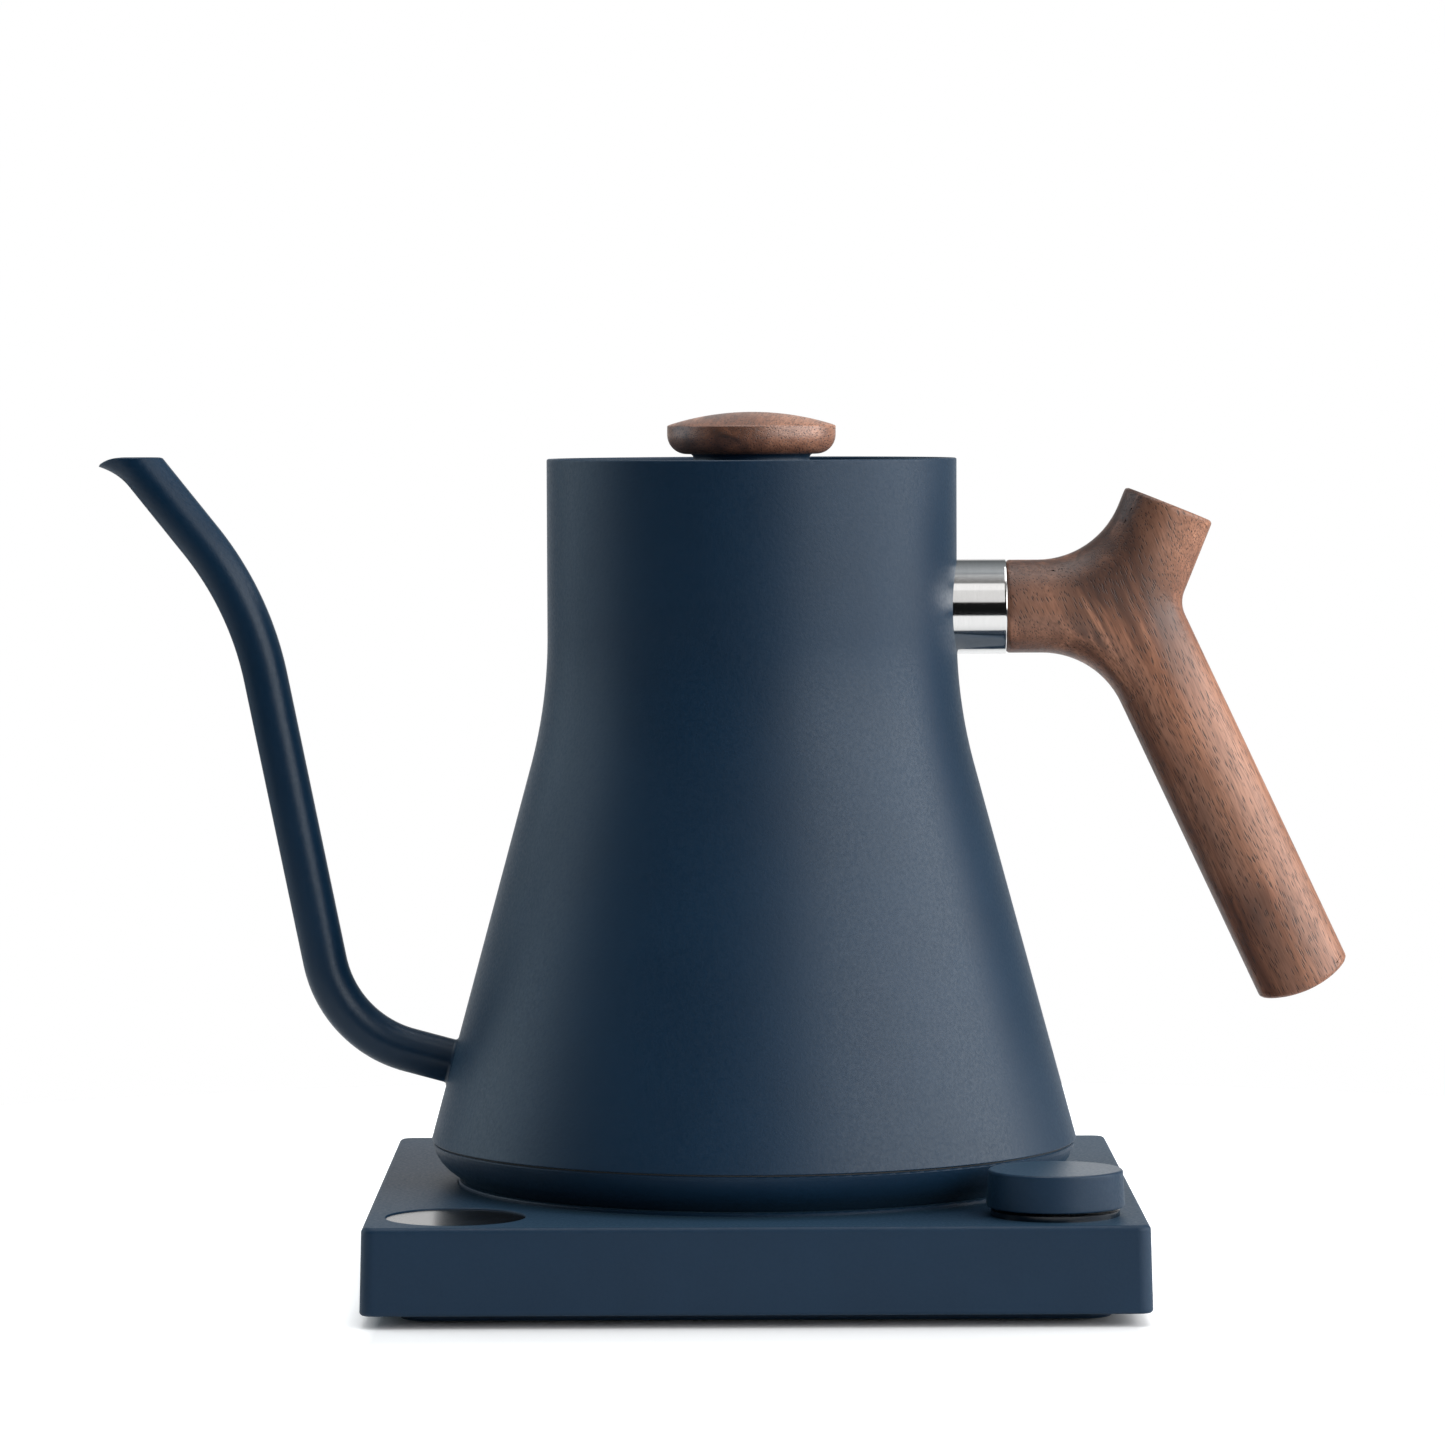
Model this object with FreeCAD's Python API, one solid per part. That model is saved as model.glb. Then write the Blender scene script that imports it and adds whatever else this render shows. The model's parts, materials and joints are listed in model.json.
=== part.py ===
# Electric pouring kettle on its square heating base, piece by piece, in millimetres.
# The origin is the middle of the base's footprint on the table, with +Z up,
# the spout towards -X, the handle towards +X and the controls towards -Y.
import FreeCAD
import Part
import math
import os

from FreeCAD import Vector

# Clearances
JOINT_GAP = 0.05          # between pieces that are welded, pressed or screwed together
RUNNING_GAP = 0.05        # knob shaft in its bush
SEAT_GAP = 0.2            # round a piece that drops into a recess
SLIDE_GAP = 0.4           # between faces that slide past each other
LID_GAP = 0.3             # lid plate and lid seal inside the neck
PAST_END = 1.0            # how far a cutting tool runs past the face it cuts
TOUCH = 1e-3              # two places closer than this are the same
NEARLY = 0.999            # keeps an arc a hair short of the points it would reach

# Kettle body
BODY_FOOT_RADIUS = 74.7
BODY_TOP_RADIUS = 47.3
BODY_HEIGHT = 157.3
BODY_WALL = 1.0
RIM_ROUND = 0.45
SHOULDER_DROP = 56.1      # from the rim down to where neck and cone would meet
SHOULDER_RADIUS = 115.0

# Lower cup and the seam above it
CUP_HEIGHT = 8.75
CUP_WALL = 2.2
CUP_TOP_INSET = 0.2
CUP_KNEE_INSET = 1.5
CUP_KNEE_HEIGHT = 4.2
CUP_KNEE_RADIUS = 10.0
CUP_TUCK = 7.7            # toe of the cup, in from the body's foot
CUP_LIP_ROUND = 0.3
CUP_SEAL_THICKNESS = 0.35
CUP_SEAL_INSET = 0.6
CUP_SEAL_WIDTH = 1.4

# Spout
SPOUT_DIAMETER = 10.2
SPOUT_WALL = 0.9
SPOUT_ROOT_RISE = 17.8    # axis of the root above the body's foot, at the wall
SPOUT_RUN = 27.0          # from the wall out to the lower bend
SPOUT_LOWER_BEND = 27.0
SPOUT_UPPER_BEND = 75.0
SPOUT_RISER_LEAN = 11.4
SPOUT_TIP_LEAN = 38.5
SPOUT_TIP_RUN = 42.3      # from the upper bend to the mouth
MOUTH_RISE = 0.5          # mouth above the rim
LIP_START = 4.2           # where the lip begins to open, short of the mouth
LIP_LENGTH = 7.9
LIP_TRIM = 2.0            # lip drawn past its length, then trimmed at the mouth
LIP_FLARE = 2.6
LIP_DROOP_START = 2.7     # where the mouth's edge begins to droop, in front of the axis
LIP_DROOP_RADIUS = 9.0
LIP_SECTIONS = 5

# Handle
HANDLE_DROP = 34.4        # stem axis below the rim
HANDLE_DEPTH = 21.9       # stem, ferrule and the handle's thickness from front to back
FERRULE_LENGTH = 11.3
STEM_LENGTH = 28.3
GRIP_LENGTH = 95.3
GRIP_WIDTH = 22.5
GRIP_LEAN = 25.2
GRIP_CROWN = 2.0
STUB_LENGTH = 25.3
STUB_WIDTH = 22.0
STUB_LEAN = 22.0
ARM_FILLET = 20.0
NOTCH_FILLET = 6.5
HANDLE_END_ROUND = 1.3
HANDLE_FLAT = 0.3         # left between the long rounds of the handle's edges
STUD_ROD_RADIUS = 4.0
INSERT_RADIUS = 6.0
INSERT_LENGTH = 22.0

# Lid
LID_RECESS = 1.5
LID_THICKNESS = 1.5
COLLAR_WIDTH = 2.2
COLLAR_HEIGHT = 8.4
LID_SKIRT_WALL = 1.0
LID_SKIRT_DEPTH = 7.4
LID_SEAL_WIDTH = 0.95
LID_SEAL_HEIGHT = 5.0
VENT_RADIUS = 1.1
VENT_ANGLES = (60.0, 180.0, 300.0)
VENT_CIRCLE = 30.0
PEDESTAL_FOOT_RADIUS = 14.6
PEDESTAL_WAIST_RADIUS = 12.3
PEDESTAL_TOP_RADIUS = 14.0
PEDESTAL_HEIGHT = 2.5
LID_KNOB_RADIUS = 19.45
LID_KNOB_EDGE = 6.6       # height of the knob's rim
LID_KNOB_CROWN = 3.1
LID_KNOB_UNDER_ROUND = 4.5
LID_KNOB_TOP_ROUND = 0.4
LID_INSERT_RADIUS = 4.0
LID_INSERT_LENGTH = 5.0
LID_SCREW_RADIUS = 2.0

# Heater in the kettle's foot
HEATER_RISE = 8.0
HEATER_THICKNESS = 1.0
HEATER_FLANGE = 4.0
SPREADER_THICKNESS = 3.0
SPREADER_EDGE = 2.0
ELEMENT_RADIUS = 3.3
ELEMENT_FLAT = 0.4
ELEMENT_SWEEP = 320.0
ELEMENT_TAIL_RADIUS = 1.2
ELEMENT_TAIL_LENGTH = 6.0
CUP_STUD_RADIUS = 3.5
CUP_STUD_INSET = 13.0     # stud circle, in from the cup's toe
CUP_STUD_ANGLES = (90.0, 210.0, 330.0)
CUP_STUD_TO_SPREADER = 1.5
CUP_BOSS_WALL = 1.3
CUP_BOSS_HEIGHT = 2.0
CUTOUT_ANGLES = (210.0, 330.0)
CUTOUT_RADIUS = 7.0
CUTOUT_HEIGHT = 4.0
CUTOUT_TOP_RADIUS = 5.0
CUTOUT_TOP_HEIGHT = 2.0
PROBE_RADIUS = 2.5
PROBE_TIP_ROUND = 2.2
PROBE_RISE = 9.0
PROBE_SEAL_RADIUS = 4.5
PROBE_SEAL_RIM = 1.5
PROBE_SEAL_RIM_HEIGHT = 1.2
PROBE_COLLAR_HEIGHT = 2.0

# Connector between base and kettle
TOWER_RADIUS = 14.0
TOWER_RISE = 9.0          # above the dock plate
SOCKET_FLANGE_WIDTH = 8.0
SOCKET_FLANGE_HEIGHT = 3.0
PIN_RADIUS = 3.0
PIN_SPACE = 0.5
RING_RADIUS = 9.5
RING_WIDTH = 0.8
CONTACT_HEIGHT = 2.0
CONTACT_DEPTH = 12.0      # sockets' floor below the tower's top
SOCKET_TOP_ROUND = 0.8
CONTACT_GAP = 0.3
CONTACT_ROOT = 2.4        # how deep the plug's contacts are held
PLUG_WALL = 3.0
PLUG_RISE = 0.5           # plug above the dock plate
PLUG_HEADROOM = 0.5
PLUG_EAR_REACH = 5.6
PLUG_EAR_WIDTH = 6.0
PLUG_EAR_HEIGHT = 3.5

# Base casing
BASE_WALL_HEIGHT = 19.4
BASE_WALL = 2.5
BASE_TOP_THICKNESS = 2.5
BASE_DRAFT = 0.5
BASE_CORNER_RADIUS = 3.0
BASE_INNER_CORNER = 2.0
BASE_TOP_ROUND = 1.2
BASE_FOOT_ROUND = 0.8
DOCK_RISE = 0.8
DOCK_SUNK = 1.0
DOCK_MARGIN = 1.6         # dock plate beyond the cup's toe
DOCK_EDGE_ROUND = 0.35
PLINTH_HEIGHT = 2.2
PLINTH_INSET = 8.3
PLINTH_CORNER = 6.0
PLINTH_ROUND = 0.9
PLINTH_FLOOR = 2.0
PLINTH_RING = 2.0
PLINTH_FLANGE = 1.6
FOOT_PROUD = 0.6
FOOT_SUNK = 0.6
FOOT_RADIUS = 7.0
FOOT_EDGE_ROUND = 0.3
FOOT_INSET = 16.5
BOSS_RADIUS = 4.5
BOSS_SPACE = 0.5

# Controls on the base
CONTROL_INSET = 20.5      # knob and display in from the base's sides
KNOB_TO_KETTLE = 3.95
KNOB_RADIUS = 15.4
KNOB_TOP_RADIUS = 14.95
KNOB_HEIGHT = 8.2
KNOB_LIFT = 2.0           # knob above the base
KNOB_TOP_ROUND = 0.6
KNOB_FOOT_ROUND = 0.3
KNOB_WALL = 2.0
KNOB_HUB_RADIUS = 5.0
KNOB_HUB_LIFT = 1.2
KNOB_RING_INSET = 1.1
KNOB_RING_WIDTH = 6.8
KNOB_RING_HEIGHT = 1.2
PRESS_ROOM = 0.7          # under the push plunger
PLUNGER_HEIGHT = 1.3
PLUNGER_SPACE = 0.3
SHAFT_RADIUS = 3.0
BUSH_WALL = 0.5
BUSH_SHOULDER = 2.0
BUSH_RISE = 2.0           # bush above the base
NUT_HEIGHT = 1.6
NUT_WIDTH = 2.3
ENCODER_WIDTH = 12.5
ENCODER_DEPTH = 13.5
ENCODER_HEIGHT = 6.5
ENCODER_FLOOR = 0.8
DISPLAY_RADIUS = 15.4
DISPLAY_THICKNESS = 1.0
DISPLAY_SUNK = 0.3
DISPLAY_RIM_BEVEL = 0.2
DISPLAY_LEDGE = 2.0
DISPLAY_GLASS = 1.2
MODULE_INSET = 3.4

# Boards and what stands on them
STANDOFF_HEIGHT = 2.0
STANDOFF_RADIUS = 3.0
BOARD_THICKNESS = 1.6
BOARD_EDGE = 0.7
BOARD_SCREW_INSET = 4.0
BOARD_SCREW_BITE = 2.4
BOARD_SCREW_ROOM = 0.5
PART_EDGE_ROUND = 0.8
POWER_PART_SPACE = 3.0
CONTROL_BOARD_DEPTH = 26.0
POWER_BOARD_DEPTH = 44.0
POWER_BOARD_WIDTH = 110.0
HEADROOM = 1.5            # between the tallest board pieces and the casing
RELAY_WIDTH = 19.0
RELAY_DEPTH = 15.0
TRANSFORMER_WIDTH = 28.0
TRANSFORMER_DEPTH = 22.0
TRANSFORMER_FLANGE = 2.0
CAPACITOR_RADIUS = 7.0
TERMINAL_WIDTH = 20.0
TERMINAL_DEPTH = 9.0
TERMINAL_HEIGHT = 9.0
TERMINAL_HOLE = 1.6
RIBBON_WIDTH = 12.0
RIBBON_THICKNESS = 0.8
RIBBON_LAP = 4.0          # how far the ribbon lies on each board
RIBBON_BEND = 3.0
RIBBON_DROP_RUN = 8.0     # from a board's height down to the tray
RIBBON_PLACE = 14.0       # from the middle, towards the handle's side

# Rear wall: cord gland, hold slider and unit button
GLAND_BORE = 3.5
GLAND_WALL = 1.5
GLAND_LIP = 1.5
GLAND_LIP_ROUND = 0.5
GLAND_INNER_LENGTH = 2.0
GLAND_SUNK = 0.6
GLAND_PROUD = 1.0
REAR_CONTROL_PLACE = 35.0
REAR_CONTROL_PROUD = 0.8
REAR_FLANGE = 1.2
SLIDER_WIDTH = 4.0
SLIDER_HEIGHT = 3.0
SLIDER_TRAVEL = 4.0
SLIDER_FLANGE_LAP = 1.0   # flange beyond the slot at either end of its travel
BUTTON_RADIUS = 3.0
BUTTON_LIP = 1.4
BUTTON_ROUND = 0.4
BUTTON_TRAVEL = 0.5
SWITCH_DEPTH = 9.0
SWITCH_WIDTH = 20.0
SWITCH_RISE = 5.0         # switch above the rear controls' middle
SWITCH_GAP = 0.3

# Screws
SCREW_RADIUS = 1.4
SCREW_HEAD_RADIUS = 2.2
SCREW_HEAD_HEIGHT = 1.2
SCREW_BITE = 8.0          # thread in a boss or a stud
SCREW_END_ROOM = 1.0      # hole beyond the screw's end
SCREW_SHORT_BITE = 1.2    # thread in a plate
SCREW_SHORT_ROOM = 0.2    # hole in a plate beyond the screw's end
SCREW_SINK = 0.3          # head below the face it is sunk in

# Heights, from the table up
PLINTH_Z = FOOT_PROUD
TRAY_Z = PLINTH_Z + PLINTH_FLOOR
WALL_Z = PLINTH_Z + PLINTH_HEIGHT
BASE_TOP_Z = WALL_Z + BASE_WALL_HEIGHT
CEILING_Z = BASE_TOP_Z - BASE_TOP_THICKNESS
DOCK_FLOOR_Z = BASE_TOP_Z - DOCK_SUNK
DOCK_TOP_Z = BASE_TOP_Z + DOCK_RISE
TOWER_TOP_Z = DOCK_TOP_Z + TOWER_RISE
CUP_FLOOR_Z = DOCK_TOP_Z + CUP_WALL
CUP_TOP_Z = DOCK_TOP_Z + CUP_HEIGHT
BODY_FOOT_Z = CUP_TOP_Z + CUP_SEAL_THICKNESS
RIM_Z = BODY_FOOT_Z + BODY_HEIGHT
SHOULDER_Z = RIM_Z - SHOULDER_DROP
HEATER_Z = BODY_FOOT_Z + HEATER_RISE
HEATER_TOP_Z = HEATER_Z + HEATER_THICKNESS
SPREADER_Z = HEATER_Z - SPREADER_THICKNESS
STEM_Z = RIM_Z - HANDLE_DROP
MOUTH_Z = RIM_Z + MOUTH_RISE
LID_TOP_Z = RIM_Z - LID_RECESS
LID_SEAT_Z = LID_TOP_Z - LID_THICKNESS
PEDESTAL_TOP_Z = LID_TOP_Z + PEDESTAL_HEIGHT
BOARD_Z = TRAY_Z + STANDOFF_HEIGHT
BOARD_TOP_Z = BOARD_Z + BOARD_THICKNESS
PART_TOP_Z = CEILING_Z - HEADROOM
REAR_Z = WALL_Z + BASE_WALL_HEIGHT / 2
KNOB_Z = BASE_TOP_Z + KNOB_LIFT
KNOB_TOP_Z = KNOB_Z + KNOB_HEIGHT
BUSH_TOP_Z = BASE_TOP_Z + BUSH_RISE
PLUNGER_Z = BOARD_TOP_Z + ENCODER_FLOOR + PRESS_ROOM
SHAFT_Z = PLUNGER_Z + PLUNGER_HEIGHT
DISPLAY_Z = BASE_TOP_Z - DISPLAY_SUNK - DISPLAY_THICKNESS
SOCKET_CONTACT_Z = TOWER_TOP_Z - CONTACT_DEPTH
BASE_SCREW_SEAT_Z = PLINTH_Z + SCREW_HEAD_HEIGHT

# Radii and places that follow from the values above
CONE_ANGLE = math.atan2(BODY_FOOT_RADIUS - BODY_TOP_RADIUS, BODY_HEIGHT - SHOULDER_DROP)
NECK_RADIUS = BODY_TOP_RADIUS - BODY_WALL
COLLAR_BORE = NECK_RADIUS - COLLAR_WIDTH
LID_SKIRT_RADIUS = COLLAR_BORE - LID_GAP - LID_SEAL_WIDTH - JOINT_GAP
CUP_TOE_RADIUS = BODY_FOOT_RADIUS - CUP_TUCK
DOCK_RADIUS = CUP_TOE_RADIUS + DOCK_MARGIN
CUP_STUD_CIRCLE = CUP_TOE_RADIUS - CUP_STUD_INSET
SPREADER_RADIUS = CUP_STUD_CIRCLE - CUP_STUD_RADIUS - CUP_STUD_TO_SPREADER
ELEMENT_CIRCLE = SPREADER_RADIUS - SPREADER_EDGE - ELEMENT_RADIUS
PIN_BORE = PIN_RADIUS + PIN_SPACE
PLUG_BORE = TOWER_RADIUS + SLIDE_GAP
PLUG_RADIUS = PLUG_BORE + PLUG_WALL
PLUG_SCREW_CIRCLE = PLUG_RADIUS + PLUG_EAR_REACH - PLUG_EAR_WIDTH / 2
PLUG_SCREW_ANGLES = (30.0, 150.0, 270.0)
SOCKET_FLANGE_RADIUS = TOWER_RADIUS + SOCKET_FLANGE_WIDTH
SOCKET_SCREW_CIRCLE = TOWER_RADIUS + SOCKET_FLANGE_WIDTH / 2
SENSOR_CIRCLE = (PLUG_RADIUS + ELEMENT_CIRCLE - ELEMENT_RADIUS) / 2
CONTROL_OFFSET = (BODY_FOOT_RADIUS + KNOB_TO_KETTLE + KNOB_RADIUS) / math.sqrt(2)
BASE_HALF = CONTROL_OFFSET + CONTROL_INSET
CAVITY_HALF = BASE_HALF - BASE_DRAFT - BASE_WALL
REAR_FACE = BASE_HALF - BASE_DRAFT / 2
PLINTH_HALF = BASE_HALF - PLINTH_INSET
TRAY_HALF = PLINTH_HALF - PLINTH_RING
FOOT_PLACE = PLINTH_HALF - FOOT_INSET
BOARD_LIMIT = TRAY_HALF - BOARD_EDGE
CONTROL_BOARD_REAR = -BOARD_LIMIT + CONTROL_BOARD_DEPTH
POWER_BOARD_FRONT = BOARD_LIMIT - POWER_BOARD_DEPTH
BOSS_SIDE = TRAY_HALF - BOSS_RADIUS - BOSS_SPACE
BOSS_FRONT = CONTROL_BOARD_REAR + BOSS_RADIUS + BOARD_SCREW_INSET
BOSS_PLACES = [(x, y) for x in (-BOSS_SIDE, BOSS_SIDE) for y in (BOSS_FRONT, BOSS_SIDE)]
FOOT_PLACES = [(x, y) for x in (-FOOT_PLACE, FOOT_PLACE) for y in (-FOOT_PLACE, FOOT_PLACE)]
DISPLAY_PLACE = (-CONTROL_OFFSET, -CONTROL_OFFSET)
KNOB_PLACE = (CONTROL_OFFSET, -CONTROL_OFFSET)
PROBE_PLACE = (0.0, SENSOR_CIRCLE)
CONTROL_SCREW_ROWS = (-BOARD_LIMIT + BOARD_SCREW_INSET, CONTROL_BOARD_REAR - BOARD_SCREW_INSET)
CONTROL_SCREW_SIDE = CONTROL_OFFSET / 2
CONTROL_SCREW_PLACES = [(x, y) for x in (-CONTROL_SCREW_SIDE, CONTROL_SCREW_SIDE) for y in CONTROL_SCREW_ROWS]
POWER_SCREW_SIDE = POWER_BOARD_WIDTH / 2 - BOARD_SCREW_INSET
POWER_SCREW_ROWS = (POWER_BOARD_FRONT + BOARD_SCREW_INSET, BOARD_LIMIT - BOARD_SCREW_INSET)
POWER_SCREW_PLACES = [(x, y) for x in (-POWER_SCREW_SIDE, POWER_SCREW_SIDE) for y in POWER_SCREW_ROWS]
BOARD_SCREW_PLACES = CONTROL_SCREW_PLACES + POWER_SCREW_PLACES
BUSH_BORE = SHAFT_RADIUS + RUNNING_GAP
BUSH_RADIUS = BUSH_BORE + BUSH_WALL
REAR_FLANGE_FACE = CAVITY_HALF - SLIDE_GAP
REAR_FLANGE_BACK = REAR_FLANGE_FACE - REAR_FLANGE
SLOT_HALF = (SLIDER_WIDTH + SLIDER_TRAVEL) / 2 + SLIDE_GAP


# Points on the upright middle plane, on a level plane and on a plane that looks along X
def upright(u, v):
    return Vector(u, 0, v)


def level(u, v):
    return Vector(u, v, 0)


def sideways(u, v):
    return Vector(0, u, v)


# Shapes that many pieces share
def outline(corners, place, closed=True):
    """A wire through corners (u, v) or (u, v, radius), with a tangent arc where a radius is given."""
    points = [place(corner[0], corner[1]) for corner in corners]
    radii = [corner[2] if len(corner) > 2 else 0.0 for corner in corners]
    count = len(points)
    arrive = list(points)
    leave = list(points)
    arcs = [None] * count
    for i in range(count):
        if radii[i] == 0.0:
            continue
        back = (points[i - 1] - points[i]).normalize()
        ahead = (points[(i + 1) % count] - points[i]).normalize()
        half = back.getAngle(ahead) / 2
        arrive[i] = points[i] + back * (radii[i] / math.tan(half))
        leave[i] = points[i] + ahead * (radii[i] / math.tan(half))
        inward = (back + ahead).normalize()
        middle = points[i] + inward * (radii[i] / math.sin(half) - radii[i])
        arcs[i] = Part.Arc(arrive[i], middle, leave[i]).toShape()
    edges = []
    for i in range(count):
        if arcs[i]:
            edges.append(arcs[i])
        following = (i + 1) % count
        if following == 0 and not closed:
            break
        if leave[i].distanceToPoint(arrive[following]) > TOUCH:
            edges.append(Part.LineSegment(leave[i], arrive[following]).toShape())
    return Part.Wire(edges)


def meet(start, run, other_start, other_run):
    """Where two lines of a plane cross, each given by a point and a direction."""
    cross = run[0] * other_run[1] - run[1] * other_run[0]
    du = other_start[0] - start[0]
    dv = other_start[1] - start[1]
    along = (du * other_run[1] - dv * other_run[0]) / cross
    return (start[0] + run[0] * along, start[1] + run[1] * along)


def inner_wall(corners, wall, low, high):
    """A rising three-corner outline moved inwards by a wall, with its ends at two heights."""
    first, bend, last = corners
    lower = (bend[0] - first[0], bend[1] - first[1])
    upper = (last[0] - bend[0], last[1] - bend[1])
    starts = []
    for point, run in ((first, lower), (bend, upper)):
        length = math.hypot(run[0], run[1])
        starts.append((point[0] - run[1] / length * wall, point[1] + run[0] / length * wall))
    turns_left = lower[0] * upper[1] - lower[1] * upper[0] > 0
    radius = bend[2] - wall if turns_left else bend[2] + wall
    flat = (1.0, 0.0)
    foot = meet(starts[0], lower, (0.0, low), flat)
    corner = meet(starts[0], lower, starts[1], upper)
    head = meet(starts[1], upper, (0.0, high), flat)
    return [foot, (corner[0], corner[1], radius), head]


def turned(corners):
    """A solid of revolution about Z from a closed outline (radius, height)."""
    face = Part.Face(outline(corners, upright))
    return face.revolve(Vector(0, 0, 0), Vector(0, 0, 1), 360)


def filled(corners):
    """A solid of revolution from a rising outline, closed to the axis."""
    return turned([(0, corners[0][1])] + corners + [(0, corners[-1][1])])


def post(radius, low, high, x=0.0, y=0.0):
    return Part.makeCylinder(radius, high - low, Vector(x, y, low))


def rod(radius, start, end):
    run = end - start
    return Part.makeCylinder(radius, run.Length, start, run)


def ring(outer, inner, low, high, x=0.0, y=0.0):
    return post(outer, low, high, x, y).cut(post(inner, low, high, x, y))


def slab(half, corner, low, high):
    """A square plate with rounded corners, about the base's middle."""
    square = [(-half, -half, corner), (half, -half, corner), (half, half, corner), (-half, half, corner)]
    return Part.Face(outline(square, level)).extrude(Vector(0, 0, high - low)).translated(Vector(0, 0, low))


def block(x0, x1, y0, y1, z0, z1):
    return Part.makeBox(x1 - x0, y1 - y0, z1 - z0, Vector(x0, y0, z0))


def edges_at_height(shape, height):
    found = []
    for edge in shape.Edges:
        box = edge.BoundBox
        if abs(box.ZMin - height) < TOUCH and abs(box.ZMax - height) < TOUCH:
            found.append(edge)
    return found


def middle_of(edge):
    return edge.valueAt((edge.FirstParameter + edge.LastParameter) / 2)


def around(radius, angles):
    """Places on a circle, as (x, y)."""
    return [(radius * math.cos(math.radians(a)), radius * math.sin(math.radians(a))) for a in angles]


def screw(x, y, seat, tip, facing):
    """A screw whose head bears on a seat height; facing is -1 for a head below and 1 for one above."""
    head_end = seat + facing * SCREW_HEAD_HEIGHT
    head = post(SCREW_HEAD_RADIUS, min(seat, head_end), max(seat, head_end), x, y)
    shank = post(SCREW_RADIUS, min(seat, tip), max(seat, tip), x, y)
    return head.fuse(shank)


def screw_hole(x, y, low, high):
    return post(SCREW_RADIUS + JOINT_GAP, low, high, x, y)


def screw_sink(x, y, low, high):
    return post(SCREW_HEAD_RADIUS + SEAT_GAP, low, high, x, y)


# Kettle body, spout and handle
BODY_OUTLINE = [
    (BODY_FOOT_RADIUS, BODY_FOOT_Z),
    (BODY_TOP_RADIUS, SHOULDER_Z, SHOULDER_RADIUS),
    (BODY_TOP_RADIUS, RIM_Z),
]


def body_filled():
    return filled(BODY_OUTLINE)


def body_bore(height):
    """Inside radius of the flared foot at a height."""
    foot = BODY_FOOT_RADIUS - BODY_WALL / math.cos(CONE_ANGLE)
    return foot - (height - BODY_FOOT_Z) * math.tan(CONE_ANGLE)


def kettle_body():
    bore = filled(inner_wall(BODY_OUTLINE, BODY_WALL, BODY_FOOT_Z - PAST_END, RIM_Z + PAST_END))
    shell = body_filled().cut(bore)
    shell = shell.makeFillet(RIM_ROUND, edges_at_height(shell, RIM_Z))
    root, outward = spout_root()
    reach = BODY_WALL + SPOUT_DIAMETER
    port = rod(SPOUT_DIAMETER / 2 - SPOUT_WALL, root - outward * reach, root + outward * reach)
    return shell.cut(port)


def spout_root():
    """The point where the spout's axis leaves the wall, and the wall's outward direction there."""
    radius = BODY_FOOT_RADIUS - SPOUT_ROOT_RISE * math.tan(CONE_ANGLE)
    root = Vector(-radius, 0, BODY_FOOT_Z + SPOUT_ROOT_RISE)
    return root, Vector(-math.cos(CONE_ANGLE), 0, math.sin(CONE_ANGLE))


def spout_line():
    """The axis corners from inside the wall to the mouth, and the direction of the tip."""
    root, outward = spout_root()
    riser_lean = math.radians(SPOUT_RISER_LEAN)
    tip_lean = math.radians(SPOUT_TIP_LEAN)
    tip = Vector(-math.sin(tip_lean), 0, math.cos(tip_lean))
    lower = root + outward * SPOUT_RUN
    upper_z = MOUTH_Z - tip.z * SPOUT_TIP_RUN
    upper = lower + Vector(-math.tan(riser_lean), 0, 1) * (upper_z - lower.z)
    mouth = upper + tip * SPOUT_TIP_RUN
    return root - outward * SPOUT_DIAMETER, lower, upper, mouth, tip


def spout_tube(radius):
    """The bent tube up to where the lip begins."""
    start, lower, upper, mouth, tip = spout_line()
    end = mouth - tip * LIP_START
    corners = [
        (start.x, start.z),
        (lower.x, lower.z, SPOUT_LOWER_BEND),
        (upper.x, upper.z, SPOUT_UPPER_BEND),
        (end.x, end.z),
    ]
    path = outline(corners, upright, closed=False)
    section = Part.Wire(Part.makeCircle(radius, start, lower - start))
    return path.makePipeShell([section], True, False)


def lip_section(radius, along):
    """Round at the back and drawn forward at the front, square to the tip."""
    mouth, tip = spout_line()[3:]
    centre = mouth + tip * (along - LIP_START)
    front = Vector(-tip.z, 0, tip.x)
    flare = LIP_FLARE * (along / LIP_LENGTH) ** 2
    side = Vector(0, radius, 0)
    back = Part.Arc(centre + side, centre - front * radius, centre - side).toShape()
    if flare == 0.0:
        nose = Part.Arc(centre - side, centre + front * radius, centre + side).toShape()
    else:
        oval = Part.Ellipse(centre + front * (radius + flare), centre + side, centre)
        nose = Part.ArcOfEllipse(oval, -math.pi / 2, math.pi / 2).toShape()
    return Part.Wire(Part.__sortEdges__([back, nose]))


def spout_lip(radius):
    past = LIP_LENGTH + LIP_TRIM
    stations = [past * i / (LIP_SECTIONS - 1) for i in range(LIP_SECTIONS)]
    return Part.makeLoft([lip_section(radius, s) for s in stations], True, False)


def above_mouth():
    """What is trimmed off above the mouth: level at the back, drooping in front."""
    mouth = spout_line()[3]
    reach = SPOUT_DIAMETER * 2
    turn = mouth.x - LIP_DROOP_START
    far = turn - LIP_DROOP_RADIUS
    corners = [
        (mouth.x + reach, MOUTH_Z),
        (far, MOUTH_Z, LIP_DROOP_RADIUS * NEARLY),
        (far, MOUTH_Z - LIP_DROOP_RADIUS),
        (far - reach, MOUTH_Z - LIP_DROOP_RADIUS),
        (far - reach, MOUTH_Z + reach),
        (mouth.x + reach, MOUTH_Z + reach),
    ]
    face = Part.Face(outline(corners, upright))
    return face.extrude(Vector(0, reach * 2, 0)).translated(Vector(0, -reach, 0))


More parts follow.
